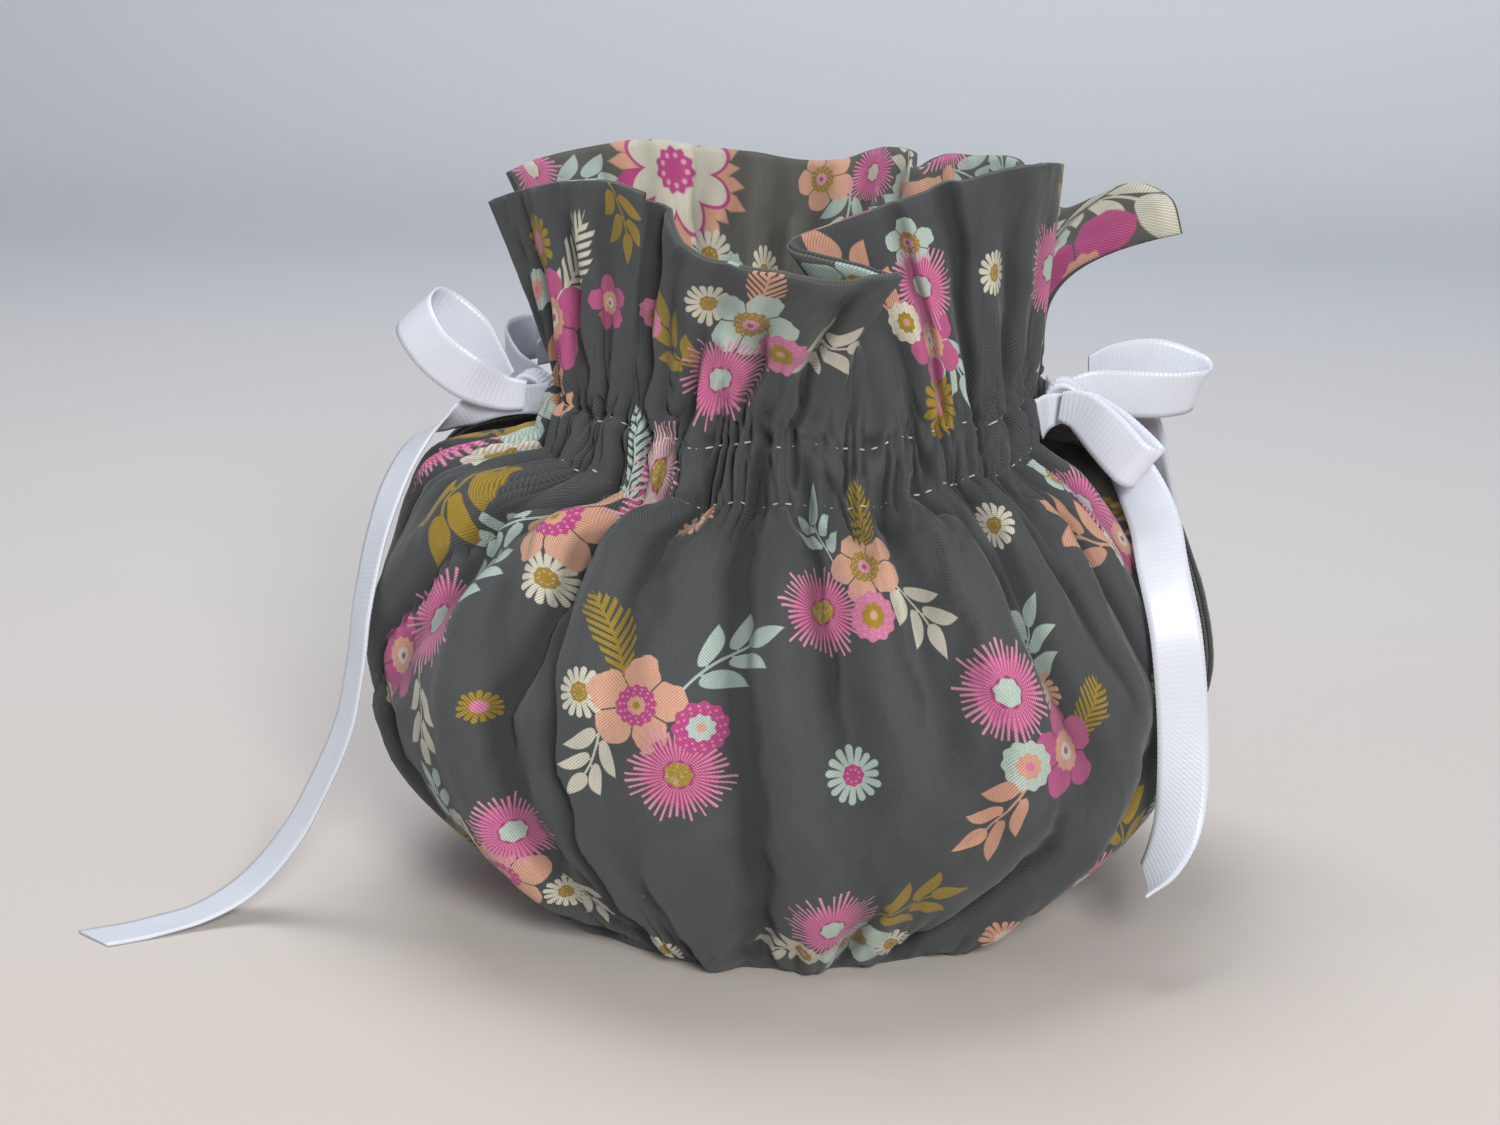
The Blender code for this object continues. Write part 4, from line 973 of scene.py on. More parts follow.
def layer_gap(across, row):
    """Half the space between cloth and lining: wide inside, and pinched where they are sewn together."""
    to_side = (1 - np.abs(across)) * HALF_WIDTH
    to_rim = (LAST_ROW - row) * FRILL_ROW_HEIGHT
    to_hem = row * HEM_ROW_HEIGHT
    pinch = np.exp(-(np.minimum(np.minimum(to_side, to_rim), to_hem) / PINCH_WIDTH) ** 2)
    return EDGE_GAP + (LAYER_GAP - EDGE_GAP) * (1 - pinch)


def cloth_layer(name, columns, outward):
    """Outer and inner face of one layer of a panel, and the place on the flat cloth with the hollows.
    outward is 1 for the printed cloth and -1 for the lining."""
    row, across = np.meshgrid(panel_rows(), np.linspace(-1, 1, columns), indexing="ij")
    points, normal, hollow = panel_surface(name, across, row)
    gap = layer_gap(across, row)[..., None]
    near = points + normal * gap * outward
    far = points + normal * (gap + CLOTH_THICKNESS) * outward
    for face in (near, far):
        face[..., 2] = np.maximum(face[..., 2], 0.0)
    # The third number is how deep the cloth lies in a hollow: the material paints shade and light of the
    # folds from it.
    flat = np.stack([across * HALF_WIDTH, row_height(row), hollow * outward], axis=-1)
    return placed(far), placed(near), flat


def row_height(row):
    """Height of a row on the flat cloth, from the widths of the sections at the panel's middle."""
    marks = np.arange(LAST_ROW + 1)
    middle = panel_base(FRONT_SECTIONS, FRONT_RIM, -1, 0 * marks[:, None], marks[:, None])[:, 0]
    lengths = np.concatenate([[0], np.cumsum(np.linalg.norm(np.diff(middle, axis=0), axis=1))])
    return glide(marks, lengths * PANEL_HEIGHT / lengths[-1], row)


# Meshes


def grid_quads(rows, columns, first=0):
    """Corner numbers of the quads between the points of a grid."""
    index = first + np.arange(rows * columns).reshape(rows, columns)
    return np.stack([index[:-1, :-1], index[:-1, 1:], index[1:, 1:], index[1:, :-1]], axis=-1).reshape(-1, 4)


def border_quads(rows, columns):
    """Quads that join the borders of two grids of the same shape, one numbered after the other."""
    index = np.arange(rows * columns).reshape(rows, columns)
    loop = np.concatenate([index[0, :-1], index[:-1, -1], index[-1, :0:-1], index[:0:-1, 0]])
    after = np.roll(loop, -1)
    return np.stack([after, loop, loop + rows * columns, after + rows * columns], axis=-1)


def mesh_from(name, vertices, quads):
    """A smooth-shaded object from arrays of vertices and quads, in the scene's collection."""
    mesh = bpy.data.meshes.new(name)
    mesh.vertices.add(len(vertices))
    mesh.vertices.foreach_set("co", np.asarray(vertices, np.float32).ravel())
    mesh.loops.add(quads.size)
    mesh.loops.foreach_set("vertex_index", quads.astype(np.int32).ravel())
    mesh.polygons.add(len(quads))
    mesh.polygons.foreach_set("loop_start", np.arange(0, quads.size, 4, dtype=np.int32))
    mesh.update(calc_edges=True)
    mesh.shade_smooth()
    piece = bpy.data.objects.new(name, mesh)
    bpy.context.scene.collection.objects.link(piece)
    return piece


def shell(name, face, back):
    """A closed thin sheet: the face grid, the back grid turned over, and a strip round their borders.
    The face's rows and columns run so that its normals point away from the back."""
    rows, columns = face.shape[:2]
    quads = grid_quads(rows, columns)
    behind = grid_quads(rows, columns, rows * columns)[:, ::-1]
    vertices = np.concatenate([face.reshape(-1, 3), back.reshape(-1, 3)])
    return mesh_from(name, vertices, np.concatenate([quads, behind, border_quads(rows, columns)]))


def corner_vertices(piece):
    """The vertex number of every face corner."""
    corners = np.empty(len(piece.data.loops), np.int32)
    piece.data.loops.foreach_get("vertex_index", corners)
    return corners


def vertex_millimetres(piece):
    """Every vertex in the millimetres of the finished part."""
    place = np.empty(len(piece.data.vertices) * 3, np.float32)
    piece.data.vertices.foreach_get("co", place)
    return place.reshape(-1, 3) / MM


def corner_values(piece, name, values):
    """Give every face corner of a piece a named vector that its material reads."""
    layer = piece.data.attributes.new(name, "FLOAT_VECTOR", "CORNER")
    layer.data.foreach_set("vector", np.asarray(values, np.float32).ravel())


# The print


def motif_places(bouquets, singles):
    """Every motif of a cloth as kind -> rows of s, t, size, turn in radians, colour set and breadth. The
    frill's cloth is drawn closer together, so its motifs are that much broader."""
    found = {kind: [] for kind in MOTIFS}
    for bouquet, (s, t, scale, turn) in zip(bouquets, number_rows(bouquets, BOUQUET_COLUMNS)):
        around = math.radians(turn)
        wide = FRILL_STRETCH if t > CASING_HEIGHT else 1.0
        motifs = BOUQUETS[bouquet[0]]
        for motif, (x, y, size, own_turn, tint) in zip(motifs, number_rows(motifs, MOTIF_COLUMNS)):
            side = s + (x * math.cos(around) - y * math.sin(around)) * scale * wide
            up = t + (x * math.sin(around) + y * math.cos(around)) * scale
            found[motif[0]].append((side, up, size * scale, around + math.radians(own_turn), tint, wide))
    for single, (s, t, size, turn, tint) in zip(singles, number_rows(singles, MOTIF_COLUMNS)):
        wide = FRILL_STRETCH if t > CASING_HEIGHT else 1.0
        found[single[0]].append((s, t, size, math.radians(turn), tint, wide))
    return {kind: np.array(rows, float) for kind, rows in found.items() if rows}


def motif_coordinates(flat_corners, places):
    """For each face, the nearest motif for its size; for each corner, its place in that motif's own unit
    circle, turned with it. The third number is the colour set, and its fraction tells motifs apart."""
    middle = flat_corners.mean(axis=1)
    sideways = (middle[:, None, 0] - places[None, :, 0]) / places[None, :, 5]
    reach = np.hypot(sideways, middle[:, None, 1] - places[None, :, 1])
    nearest = np.argmin(reach / places[None, :, 2], axis=1)
    s, t, size, turn, tint, wide = places[nearest].T
    x = (flat_corners[..., 0] - s[:, None]) / (size * wide)[:, None]
    y = (flat_corners[..., 1] - t[:, None]) / size[:, None]
    cosine, sine = np.cos(turn)[:, None], np.sin(turn)[:, None]
    fraction = np.round(0.1 + 0.8 * ((nearest * 0.618) % 1.0), 2) // 0.02 * 0.02
    colour_set = np.broadcast_to((tint + fraction)[:, None], x.shape)
    return np.stack([x * cosine + y * sine, y * cosine - x * sine, colour_set], axis=-1)


def lay_print(piece, flat, bouquets, singles):
    """Store the cloth's flat places and hollows, and each kind of motif's own coordinates, on the piece."""
    both_sides = np.concatenate([flat.reshape(-1, 3)] * 2)
    cloth_corners = both_sides[corner_vertices(piece)].reshape(-1, 4, 3)
    corner_values(piece, "cloth", cloth_corners)
    for kind, places in motif_places(bouquets, singles).items():
        corner_values(piece, kind, motif_coordinates(cloth_corners[..., :2], places))


class Value:
    """What a socket gives out. Arithmetic on it wires it to a new node."""

    def __init__(self, graph, socket):
        self.graph = graph
        self.socket = socket

    def __add__(self, other):
        return self.graph.math("ADD", self, other)

    def __sub__(self, other):
        return self.graph.math("SUBTRACT", self, other)

    def __rsub__(self, other):
        return self.graph.math("SUBTRACT", other, self)

    def __mul__(self, other):
        return self.graph.math("MULTIPLY", self, other)

    def __truediv__(self, other):
        return self.graph.math("DIVIDE", self, other)

    def __pow__(self, other):
        return self.graph.math("POWER", self, other)

    def __abs__(self):
        return self.graph.math("ABSOLUTE", self)


class Graph:
    """A shader node tree that is wired by arithmetic on its values."""

    def __init__(self, tree):
        self.tree = tree

    def node(self, kind, **settings):
        made = self.tree.nodes.new("ShaderNode" + kind)
        for key, value in settings.items():
            setattr(made, key, value)
        return made

    def feed(self, socket, value):
        if isinstance(value, Value):
            self.tree.links.new(value.socket, socket)
        elif socket.type == "VECTOR":
            socket.default_value = value[:3]
        else:
            socket.default_value = value

    def math(self, operation, *values, clamp=False):
        made = self.node("Math", operation=operation, use_clamp=clamp)
        for socket, value in zip(made.inputs, values):
            self.feed(socket, value)
        return Value(self, made.outputs[0])

    def clipped(self, value):
        """The value held between 0 and 1."""
        return self.math("ADD", value, 0.0, clamp=True)

    def mask(self, room, blur=0.03):
        """1 where room is above zero and 0 where it is below, over a soft edge."""
        return self.math("MULTIPLY_ADD", room, 1 / blur, 0.5, clamp=True)

    def mix(self, factor, first, second):
        """The first colour where factor is 0, and the second where it is 1."""
        made = self.node("Mix", data_type="RGBA")
        self.feed(made.inputs[0], factor)
        self.feed(made.inputs[6], first)
        self.feed(made.inputs[7], second)
        return Value(self, made.outputs[2])

    def scaled(self, vector, factor):
        """A vector or colour times a number."""
        made = self.node("VectorMath", operation="SCALE")
        self.feed(made.inputs[0], vector)
        self.feed(made.inputs["Scale"], factor)
        return Value(self, made.outputs[0])

    def pick(self, kind, colours):
        """The colour whose number is the whole part of kind."""
        made = self.node("ValToRGB")
        ramp = made.color_ramp
        ramp.interpolation = "CONSTANT"
        while len(ramp.elements) < len(colours):
            ramp.elements.new(len(ramp.elements) / len(colours))
        for index, colour in enumerate(colours):
            ramp.elements[index].position = index / len(colours)
            ramp.elements[index].color = linear(colour)
        self.feed(made.inputs[0], kind / float(len(colours)))
        return Value(self, made.outputs[0])

    def noise(self, vector, scale, detail=1.0):
        """Soft noise round 0.5."""
        made = self.node("TexNoise")
        self.feed(made.inputs["Vector"], vector)
        made.inputs["Scale"].default_value = scale
        made.inputs["Detail"].default_value = detail
        return Value(self, made.outputs["Fac"])

    def chance(self, number, kind):
        """A number from 0 to 1 that differs from ray to ray and from motif to motif."""
        pair = self.node("CombineXYZ")
        self.feed(pair.inputs[0], number)
        self.feed(pair.inputs[1], self.math("ROUND", kind * 50.0))
        made = self.node("TexWhiteNoise", noise_dimensions="2D")
        self.tree.links.new(pair.outputs[0], made.inputs["Vector"])
        return Value(self, made.outputs["Value"])

    def parts(self, vector):
        """The three numbers of a vector."""
        made = self.node("SeparateXYZ")
        self.feed(made.inputs[0], vector)
        return tuple(Value(self, socket) for socket in made.outputs)

    def polar(self, x, y):
        """Distance from the middle and angle round it."""
        return self.math("SQRT", x * x + y * y), self.math("ARCTAN2", y, x)

    def rays(self, radius, angle, count):
        """Number of the nearest of count rays, the angle to it, and the distance across to it."""
        cell = angle * (count / (2 * math.pi)) + 0.5 * (count % 2)
        index = self.math("FLOOR", cell)
        part_of_turn = (cell - index - 0.5) * (2 * math.pi / count)
        return index, part_of_turn, abs(part_of_turn * radius)

    def scallop(self, radius, angle, size, depth, count):
        """Mask of a disc whose edge waves count times."""
        return self.mask(self.math("COSINE", angle * count) * depth + size - radius)

    def dots(self, radius, angle, ring, count, size):
        """Mask of a ring of small dots."""
        sideways = self.rays(radius, angle, count)[2]
        away = self.polar(sideways, radius - ring)[0]
        return self.mask(size - away, 0.02)


def linear(colour):
    """Scene-linear red, green, blue and alpha of a colour given from 0 to 255."""
    values = [part / 255 for part in colour]
    return (*[v / 12.92 if v <= 0.04045 else ((v + 0.055) / 1.055) ** 2.4 for v in values], 1.0)


def motif_group(name, draw):
    """A node group that draws one kind of motif: from its own coordinates to a mask and a colour."""
    tree = bpy.data.node_groups.new(name, "ShaderNodeTree")
    tree.interface.new_socket("Place", in_out="INPUT", socket_type="NodeSocketVector")
    tree.interface.new_socket("Mask", in_out="OUTPUT", socket_type="NodeSocketFloat")
    tree.interface.new_socket("Color", in_out="OUTPUT", socket_type="NodeSocketColor")
    graph = Graph(tree)
    place = Value(graph, tree.nodes.new("NodeGroupInput").outputs["Place"])
    leave = tree.nodes.new("NodeGroupOutput")
    mask, colour = draw(graph, place)
    graph.feed(leave.inputs["Mask"], mask)
    graph.feed(leave.inputs["Color"], colour)
    return tree


def draw_aster(graph, place):
    """Forty-four thin strokes of uneven length and breadth round a disc, on a ragged, deeper patch."""
    u, v, kind = graph.parts(place)
    radius, angle = graph.polar(u, v)
    index, _, across = graph.rays(radius, angle, 44)
    tip = graph.chance(index, kind) * 0.26 + 0.74
    widest = graph.chance(index, kind + 9.0) * 0.012 + 0.018
    breadth = graph.math("MINIMUM", radius * 0.045, widest)
    thick = graph.mask(breadth - across, 0.02)
    stroke = thick * graph.mask(tip - radius)
    ragged = graph.chance(index, kind + 5.0) * 0.16 + 0.54
    patch = graph.mask(ragged - radius, 0.05)
    towards_tip = graph.math("MULTIPLY_ADD", radius, 2.0, -0.9, clamp=True)
    light = graph.mix(towards_tip, graph.pick(kind, (PINK, PINK, PINK, CREAM)), linear(PALE_PINK))
    colour = graph.mix(stroke, graph.pick(kind, (MAGENTA, DEEP_PINK, MAGENTA, MAGENTA)), light)
    colour = graph.mix(graph.scallop(radius, angle, 0.27, 0.012, 9), colour, linear(DEEP_PINK))
    heart = graph.scallop(radius, angle, 0.235, 0.014, 7)
    colour = graph.mix(heart, colour, graph.pick(kind, (MINT, MUSTARD, CREAM, MUSTARD)))
    speck = graph.mask(graph.noise(place, 16.0) - 0.56, 0.1)
    colour = graph.mix(speck * heart * 0.35, colour, linear(CREAM))
    return graph.math("MAXIMUM", stroke, patch), colour


def draw_burst(graph, place):
    """A large open flower: eight broad pale petals on a ring of twenty-four pointed ones, over deeper blots,
    with a scalloped disc in the middle."""
    u, v, kind = graph.parts(place)
    radius, angle = graph.polar(u, v)
    index, _, across = graph.rays(radius, angle, 24)
    tip = graph.chance(index, kind) * 0.2 + 0.8
    room = tip - radius
    point = graph.math("MINIMUM", room * 0.55, 0.095)
    outer = graph.mask(point - across, 0.03)
    blot = graph.math("GREATER_THAN", graph.chance(index, kind + 3.0), 0.72)
    colour = graph.mix(blot, linear(PEACH), linear(MAGENTA))
    aside = graph.rays(radius, angle, 8)[2]
    along = (radius - 0.44) / 0.24
    broad = graph.polar(along, aside / 0.165)[0]
    under = graph.mask(1.22 - broad, 0.1)
    colour = graph.mix(under, colour, linear(MAGENTA))
    petal = graph.mask(1.0 - broad, 0.1)
    colour = graph.mix(petal, colour, linear(CREAM))
    disc = graph.scallop(radius, angle, 0.25, 0.02, 11)
    colour = graph.mix(disc, colour, linear(MAGENTA))
    colour = graph.mix(graph.dots(radius, angle, 0.17, 9, 0.03), colour, linear(PALE_PINK))
    body = graph.mask(0.66 - radius)
    return graph.math("MAXIMUM", outer, body), colour


def draw_petals(graph, place):
    """Five round petals, (x / 0.43)^2 + (y / 0.38)^2 < 1 from a point on each one's axis, parted by thin
    gaps, with a dotted ring and a disc in the middle."""
    u, v, kind = graph.parts(place)
    radius, angle = graph.polar(u, v)
    index, turn, _ = graph.rays(radius, angle, 5)
    along = radius * graph.math("COSINE", turn) - 0.56
    sideways = radius * graph.math("SINE", turn)
    size = graph.polar(along / 0.43, sideways / 0.38)[0]
    waver = graph.noise(place, 3.4) * 0.5 + 0.75
    petal = graph.mask(waver - size, 0.06)
    to_edge = math.pi / 5 - abs(turn)
    gap = graph.mask(to_edge * radius - 0.016, 0.02)
    tone = graph.chance(index, kind) * 0.07 + radius * 0.05
    colours = graph.pick(kind, (PEACH, MINT, MAGENTA, PEACH))
    colour = graph.mix(tone, colours, linear(CREAM))
    ring = graph.scallop(radius, angle, 0.40, 0.02, 13)
    colour = graph.mix(ring, colour, graph.pick(kind, (MAGENTA, MUSTARD, PEACH, MUSTARD)))
    outer_spots = graph.dots(radius, angle, 0.33, 14, 0.026)
    spots = graph.math("MAXIMUM", outer_spots, graph.dots(radius, angle, 0.25, 11, 0.022))
    colour = graph.mix(spots * 0.75, colour, linear(PALE_PINK))
    heart = graph.scallop(radius, angle, 0.185, 0.012, 9)
    colour = graph.mix(heart, colour, graph.pick(kind, (PEACH, PALE_PINK, CREAM, PALE_PINK)))
    speck = graph.mask(0.075 - radius)
    colour = graph.mix(speck, colour, graph.pick(kind, (MUSTARD, MAGENTA, MAGENTA, MAGENTA)))
    whole = graph.math("MAXIMUM", petal * gap, ring)
    return whole, colour


def draw_button(graph, place):
    """A scalloped disc with two rings of dots and a smaller scalloped disc inside."""
    u, v, kind = graph.parts(place)
    radius, angle = graph.polar(u, v)
    whole = graph.scallop(radius, angle, 0.93, 0.05, 11)
    colour = graph.pick(kind, (MAGENTA, PINK, MINT, CREAM))
    outer_spots = graph.dots(radius, angle, 0.78, 16, 0.055)
    spots = graph.math("MAXIMUM", outer_spots, graph.dots(radius, angle, 0.62, 12, 0.045))
    spot_colour = graph.pick(kind, (PALE_PINK, PALE_PINK, CREAM, PEACH))
    colour = graph.mix(spots * 0.6, colour, spot_colour)
    inner = graph.scallop(radius, angle, 0.47, 0.04, 9)
    colour = graph.mix(inner, colour, graph.pick(kind, (MINT, MUSTARD, PEACH, MUSTARD)))
    heart = graph.mask(0.17 - radius, 0.08)
    return whole, graph.mix(heart, colour, graph.pick(kind, (PEACH, PEACH, PINK, PEACH)))


def draw_daisy(graph, place):
    """Fifteen club-shaped petals of uneven length round a dotted disc."""
    u, v, kind = graph.parts(place)
    radius, angle = graph.polar(u, v)
    index, _, across = graph.rays(radius, angle, 15)
    end = graph.chance(index, kind) * 0.16 + 0.76
    beyond = graph.math("MAXIMUM", radius - end, 0.0)
    away = graph.polar(across, beyond)[0]
    width = radius * 0.085 + 0.055
    petal = graph.mask(width - away, 0.04)
    colour = graph.pick(kind, (MINT, CREAM, PEACH, MUSTARD))
    centre = graph.scallop(radius, angle, 0.37, 0.02, 8)
    colour = graph.mix(centre, colour, graph.pick(kind, (MAGENTA, MUSTARD, CREAM, PINK)))
    spots = graph.dots(radius, angle, 0.22, 8, 0.045)
    colour = graph.mix(spots * 0.6, colour, linear(PALE_PINK))
    return graph.math("MAXIMUM", petal, centre), colour


def leaf_rows(graph, x, y, spacing, slope, stagger):
    """Leaves in rows that slope up and away from a stem: the row's number, the side of the stem, the
    distance across from the row's middle line and the distance along it."""
    side = graph.math("SIGN", x)
    out = abs(x)
    level = out * -slope + (side * (stagger * spacing) + y)
    cell = level * (1 / spacing) + 0.5
    index = graph.math("FLOOR", cell)
    offset = cell - index - 0.5
    lean = 1 / math.hypot(1, slope)
    across = abs(offset * (spacing * lean))
    return index, side, across, out / lean


def leaf_outline(graph, along, across, width):
    """Mask of a leaf from 0 to 1 along, broad near its foot and drawn out to a point: half its width is
    2.9 width a^0.55 (1 - a)^1.15 at a along."""
    within = graph.math("MINIMUM", graph.math("MAXIMUM", along, 0.0), 1.0)
    foot = within ** 0.55
    point = (1.0 - within) ** 1.15
    half = foot * point * (2.9 * width)
    return graph.mask(half - 0.008 - across, 0.02)


def draw_sprig(graph, place):
    """A bent stem with two pairs of long pointed leaves on short stalks, and one leaf at its end."""
    u, v, kind = graph.parts(place)
    x = v * v * -0.2 + (u + 0.08)
    index, side, across, out = leaf_rows(graph, x, v, 0.56, 0.95, 0.12)
    luck = graph.chance(side * 7.0 + index, kind)
    length = luck * 0.2 + 0.64
    past_stalk = out - 0.07
    leaves = leaf_outline(graph, past_stalk / length, across, 0.175)
    thin = graph.mask(0.018 - across, 0.02)
    stalks = thin * graph.mask(0.2 - out)
    near = graph.math("LESS_THAN", abs(index + 0.5), 1.0)
    pairs = graph.math("MAXIMUM", leaves, stalks) * near
    end = leaf_outline(graph, v * 1.4 + -0.46, abs(x), 0.17)
    along_stem = graph.mask(0.7 - abs(v + 0.3))
    stem = graph.mask(0.022 - abs(x), 0.02)
    whole = graph.math("MAXIMUM", pairs, stem * along_stem)
    colour = graph.pick(kind, (MINT, CREAM, PEACH, MUSTARD))
    colour = graph.mix(luck * 0.14, colour, linear(CHARCOAL))
    return graph.math("MAXIMUM", whole, end), colour


def draw_fern(graph, place):
    """A stem with many narrow leaflets that get shorter towards its tip."""
    u, v, kind = graph.parts(place)
    x = v * v * 0.14 + (u + -0.05)
    index, side, across, out = leaf_rows(graph, x, v, 0.21, 1.05, 0.2)
    luck = graph.chance(side * 17.0 + index, kind)
    height = index * 0.17 + 0.14
    short = 1.0 - height * height
    length = short * (luck * 0.18 + 0.6)
    taper = out * -0.02 + 0.05
    blade = graph.mask(taper - across, 0.025)
    reach = graph.mask(length - out)
    stem = graph.mask(0.028 - abs(x), 0.02)
    along_stem = graph.mask(0.95 - abs(v))
    whole = graph.math("MAXIMUM", blade * reach, stem * along_stem)
    light = graph.pick(kind, (MUSTARD, CREAM, MINT, PEACH))
    dark = graph.pick(kind, (DARK_MUSTARD, CREAM, MINT, PEACH))
    return whole, graph.mix(luck * 0.3, light, dark)


def weave_group():
    """Plain cotton: two sets of fine slanting lines where the threads cross, thicker yarns here and there,
    a slow drift in tone, painted shade that darkens the hollows and painted light that makes the crests
    paler, and a few specks of lint."""
    tree = bpy.data.node_groups.new("cotton weave and painted fold shade", "ShaderNodeTree")
    tree.interface.new_socket("Cloth", in_out="INPUT", socket_type="NodeSocketVector")
    for name in ("Tone", "Height", "Lint"):
        tree.interface.new_socket(name, in_out="OUTPUT", socket_type="NodeSocketFloat")
    graph = Graph(tree)
    cloth = Value(graph, tree.nodes.new("NodeGroupInput").outputs["Cloth"])
    leave = tree.nodes.new("NodeGroupOutput")
    s, t, depth = graph.parts(cloth)
    rising = graph.math("SINE", (s + t) * (2 * math.pi / WEAVE_PITCH))
    falling = graph.math("SINE", (s - t) * (2 * math.pi / WEAVE_PITCH))
    drift = graph.noise(cloth, 0.09, 2.0)
    share = graph.math("MULTIPLY_ADD", drift, 9.0, -4.0, clamp=True)
    lines = graph.mix(share, rising, falling)
    yarns = graph.node("VectorMath", operation="MULTIPLY")
    graph.feed(yarns.inputs[0], cloth)
    yarns.inputs[1].default_value = (2.6, 0.22, 0.0)
    slub = graph.noise(Value(graph, yarns.outputs[0]), 1.0, 2.0)
    tone = lines * WEAVE_CONTRAST + 0.8
    tone = slub * 0.26 + tone
    tone = drift * 0.12 + tone
    # Painted shade and light of the folds: the cloth is painted darker where it lies in a hollow, down to 55
    # percent, and up to 12 percent paler on crests.
    painted_fold_shade = graph.math("MAXIMUM", depth * -PAINTED_HOLLOW_SHADE, -0.45)
    painted_fold_shade = graph.math("MINIMUM", painted_fold_shade, 0.12)
    tone = tone * (painted_fold_shade + 1.0)
    specks = graph.node("TexVoronoi", feature="F1")
    graph.feed(specks.inputs["Vector"], cloth)
    specks.inputs["Scale"].default_value = 0.16
    size = graph.parts(Value(graph, specks.outputs["Color"]))[0] * 0.16 - 0.125
    lint = graph.mask(size - Value(graph, specks.outputs["Distance"]), 0.02)
    graph.feed(leave.inputs["Tone"], tone)
    graph.feed(leave.inputs["Height"], lines)
    graph.feed(leave.inputs["Lint"], lint)
    return tree


def new_material(name, roughness, sheen):
    """A material with its Principled shader's constants set, and the graph to wire its colour with."""
    finish = bpy.data.materials.new(name)
    finish.use_nodes = True
    shader = finish.node_tree.nodes["Principled BSDF"]
    shader.inputs["Metallic"].default_value = 0.0
    shader.inputs["Roughness"].default_value = roughness
    shader.inputs["Sheen Weight"].default_value = sheen
    shader.inputs["Sheen Roughness"].default_value = 0.5
    shader.inputs["Specular IOR Level"].default_value = 0.3
    return finish, Graph(finish.node_tree), shader


def attribute(graph, name):
    """A vector stored on the piece under that name."""
    made = graph.node("Attribute", attribute_type="GEOMETRY", attribute_name=name)
    return Value(graph, made.outputs["Vector"])


def object_place(graph):
    """The place in the object's own metres."""
    return Value(graph, graph.node("TexCoord").outputs["Object"])


def group_values(graph, tree, place):
    """The group's node in a material, fed with a place: what it gives out, by name."""
    made = graph.node("Group", node_tree=tree)
    graph.feed(made.inputs[0], place)
    return {socket.name: Value(graph, socket) for socket in made.outputs}


def printed_cotton(name, ground, groups, kinds, weave):
    """Cotton of one ground colour, with motifs of the given kinds printed over each other in that order."""
    finish, graph, shader = new_material(name, 0.86, 0.12)
    cloth = attribute(graph, "cloth")
    threads = group_values(graph, weave, cloth)
    colour = linear(ground)
    for kind in kinds:
        motif = group_values(graph, groups[kind], attribute(graph, kind))
        colour = graph.mix(motif["Mask"], colour, motif["Color"])
    toned = graph.scaled(colour, threads["Tone"])
    graph.feed(shader.inputs["Base Color"], graph.mix(threads["Lint"] * 0.7, toned, linear(CREAM)))
    bump = graph.node("Bump")
    bump.inputs["Strength"].default_value = 0.35
    bump.inputs["Distance"].default_value = 0.06 * MM
    graph.feed(bump.inputs["Height"], threads["Height"])
    graph.feed(shader.inputs["Normal"], Value(graph, bump.outputs["Normal"]))
    return finish


def grosgrain():
    """White ribbon with a soft gloss: painted light and shade make its tone a little paler on the crests of
    its ribs and darker between them, and its tone and roughness change a little along its fibres.
    """
    finish, graph, shader = new_material("grosgrain", 0.36, 0.1)
    shader.inputs["Specular IOR Level"].default_value = 0.55
    place = attribute(graph, "ribbon")
    # Painted light and shade of the ribs: the tone is a little paler on their crests and darker between them.
    rib = graph.math("COSINE", graph.parts(place)[0] * (2 * math.pi / RIB_PITCH))
    fibre = graph.noise(place, 3.0, 2.0)
    tone = rib * 0.02 + (fibre * 0.05 + 0.95)
    graph.feed(shader.inputs["Base Color"], graph.scaled(linear(RIBBON_WHITE), tone))
    graph.feed(shader.inputs["Roughness"], fibre * 0.16 + 0.28)
    return finish


def thread_finish():
    """Silvery sewing thread with a slight twist in its tone."""
    finish, graph, shader = new_material("silver thread", 0.4, 0.2)
    twist = graph.noise(object_place(graph), 1800.0)
    graph.feed(shader.inputs["Base Color"], graph.mix(twist, linear(DARK_THREAD), linear(THREAD)))
    return finish


# Ribbons, knots, seams and stitches


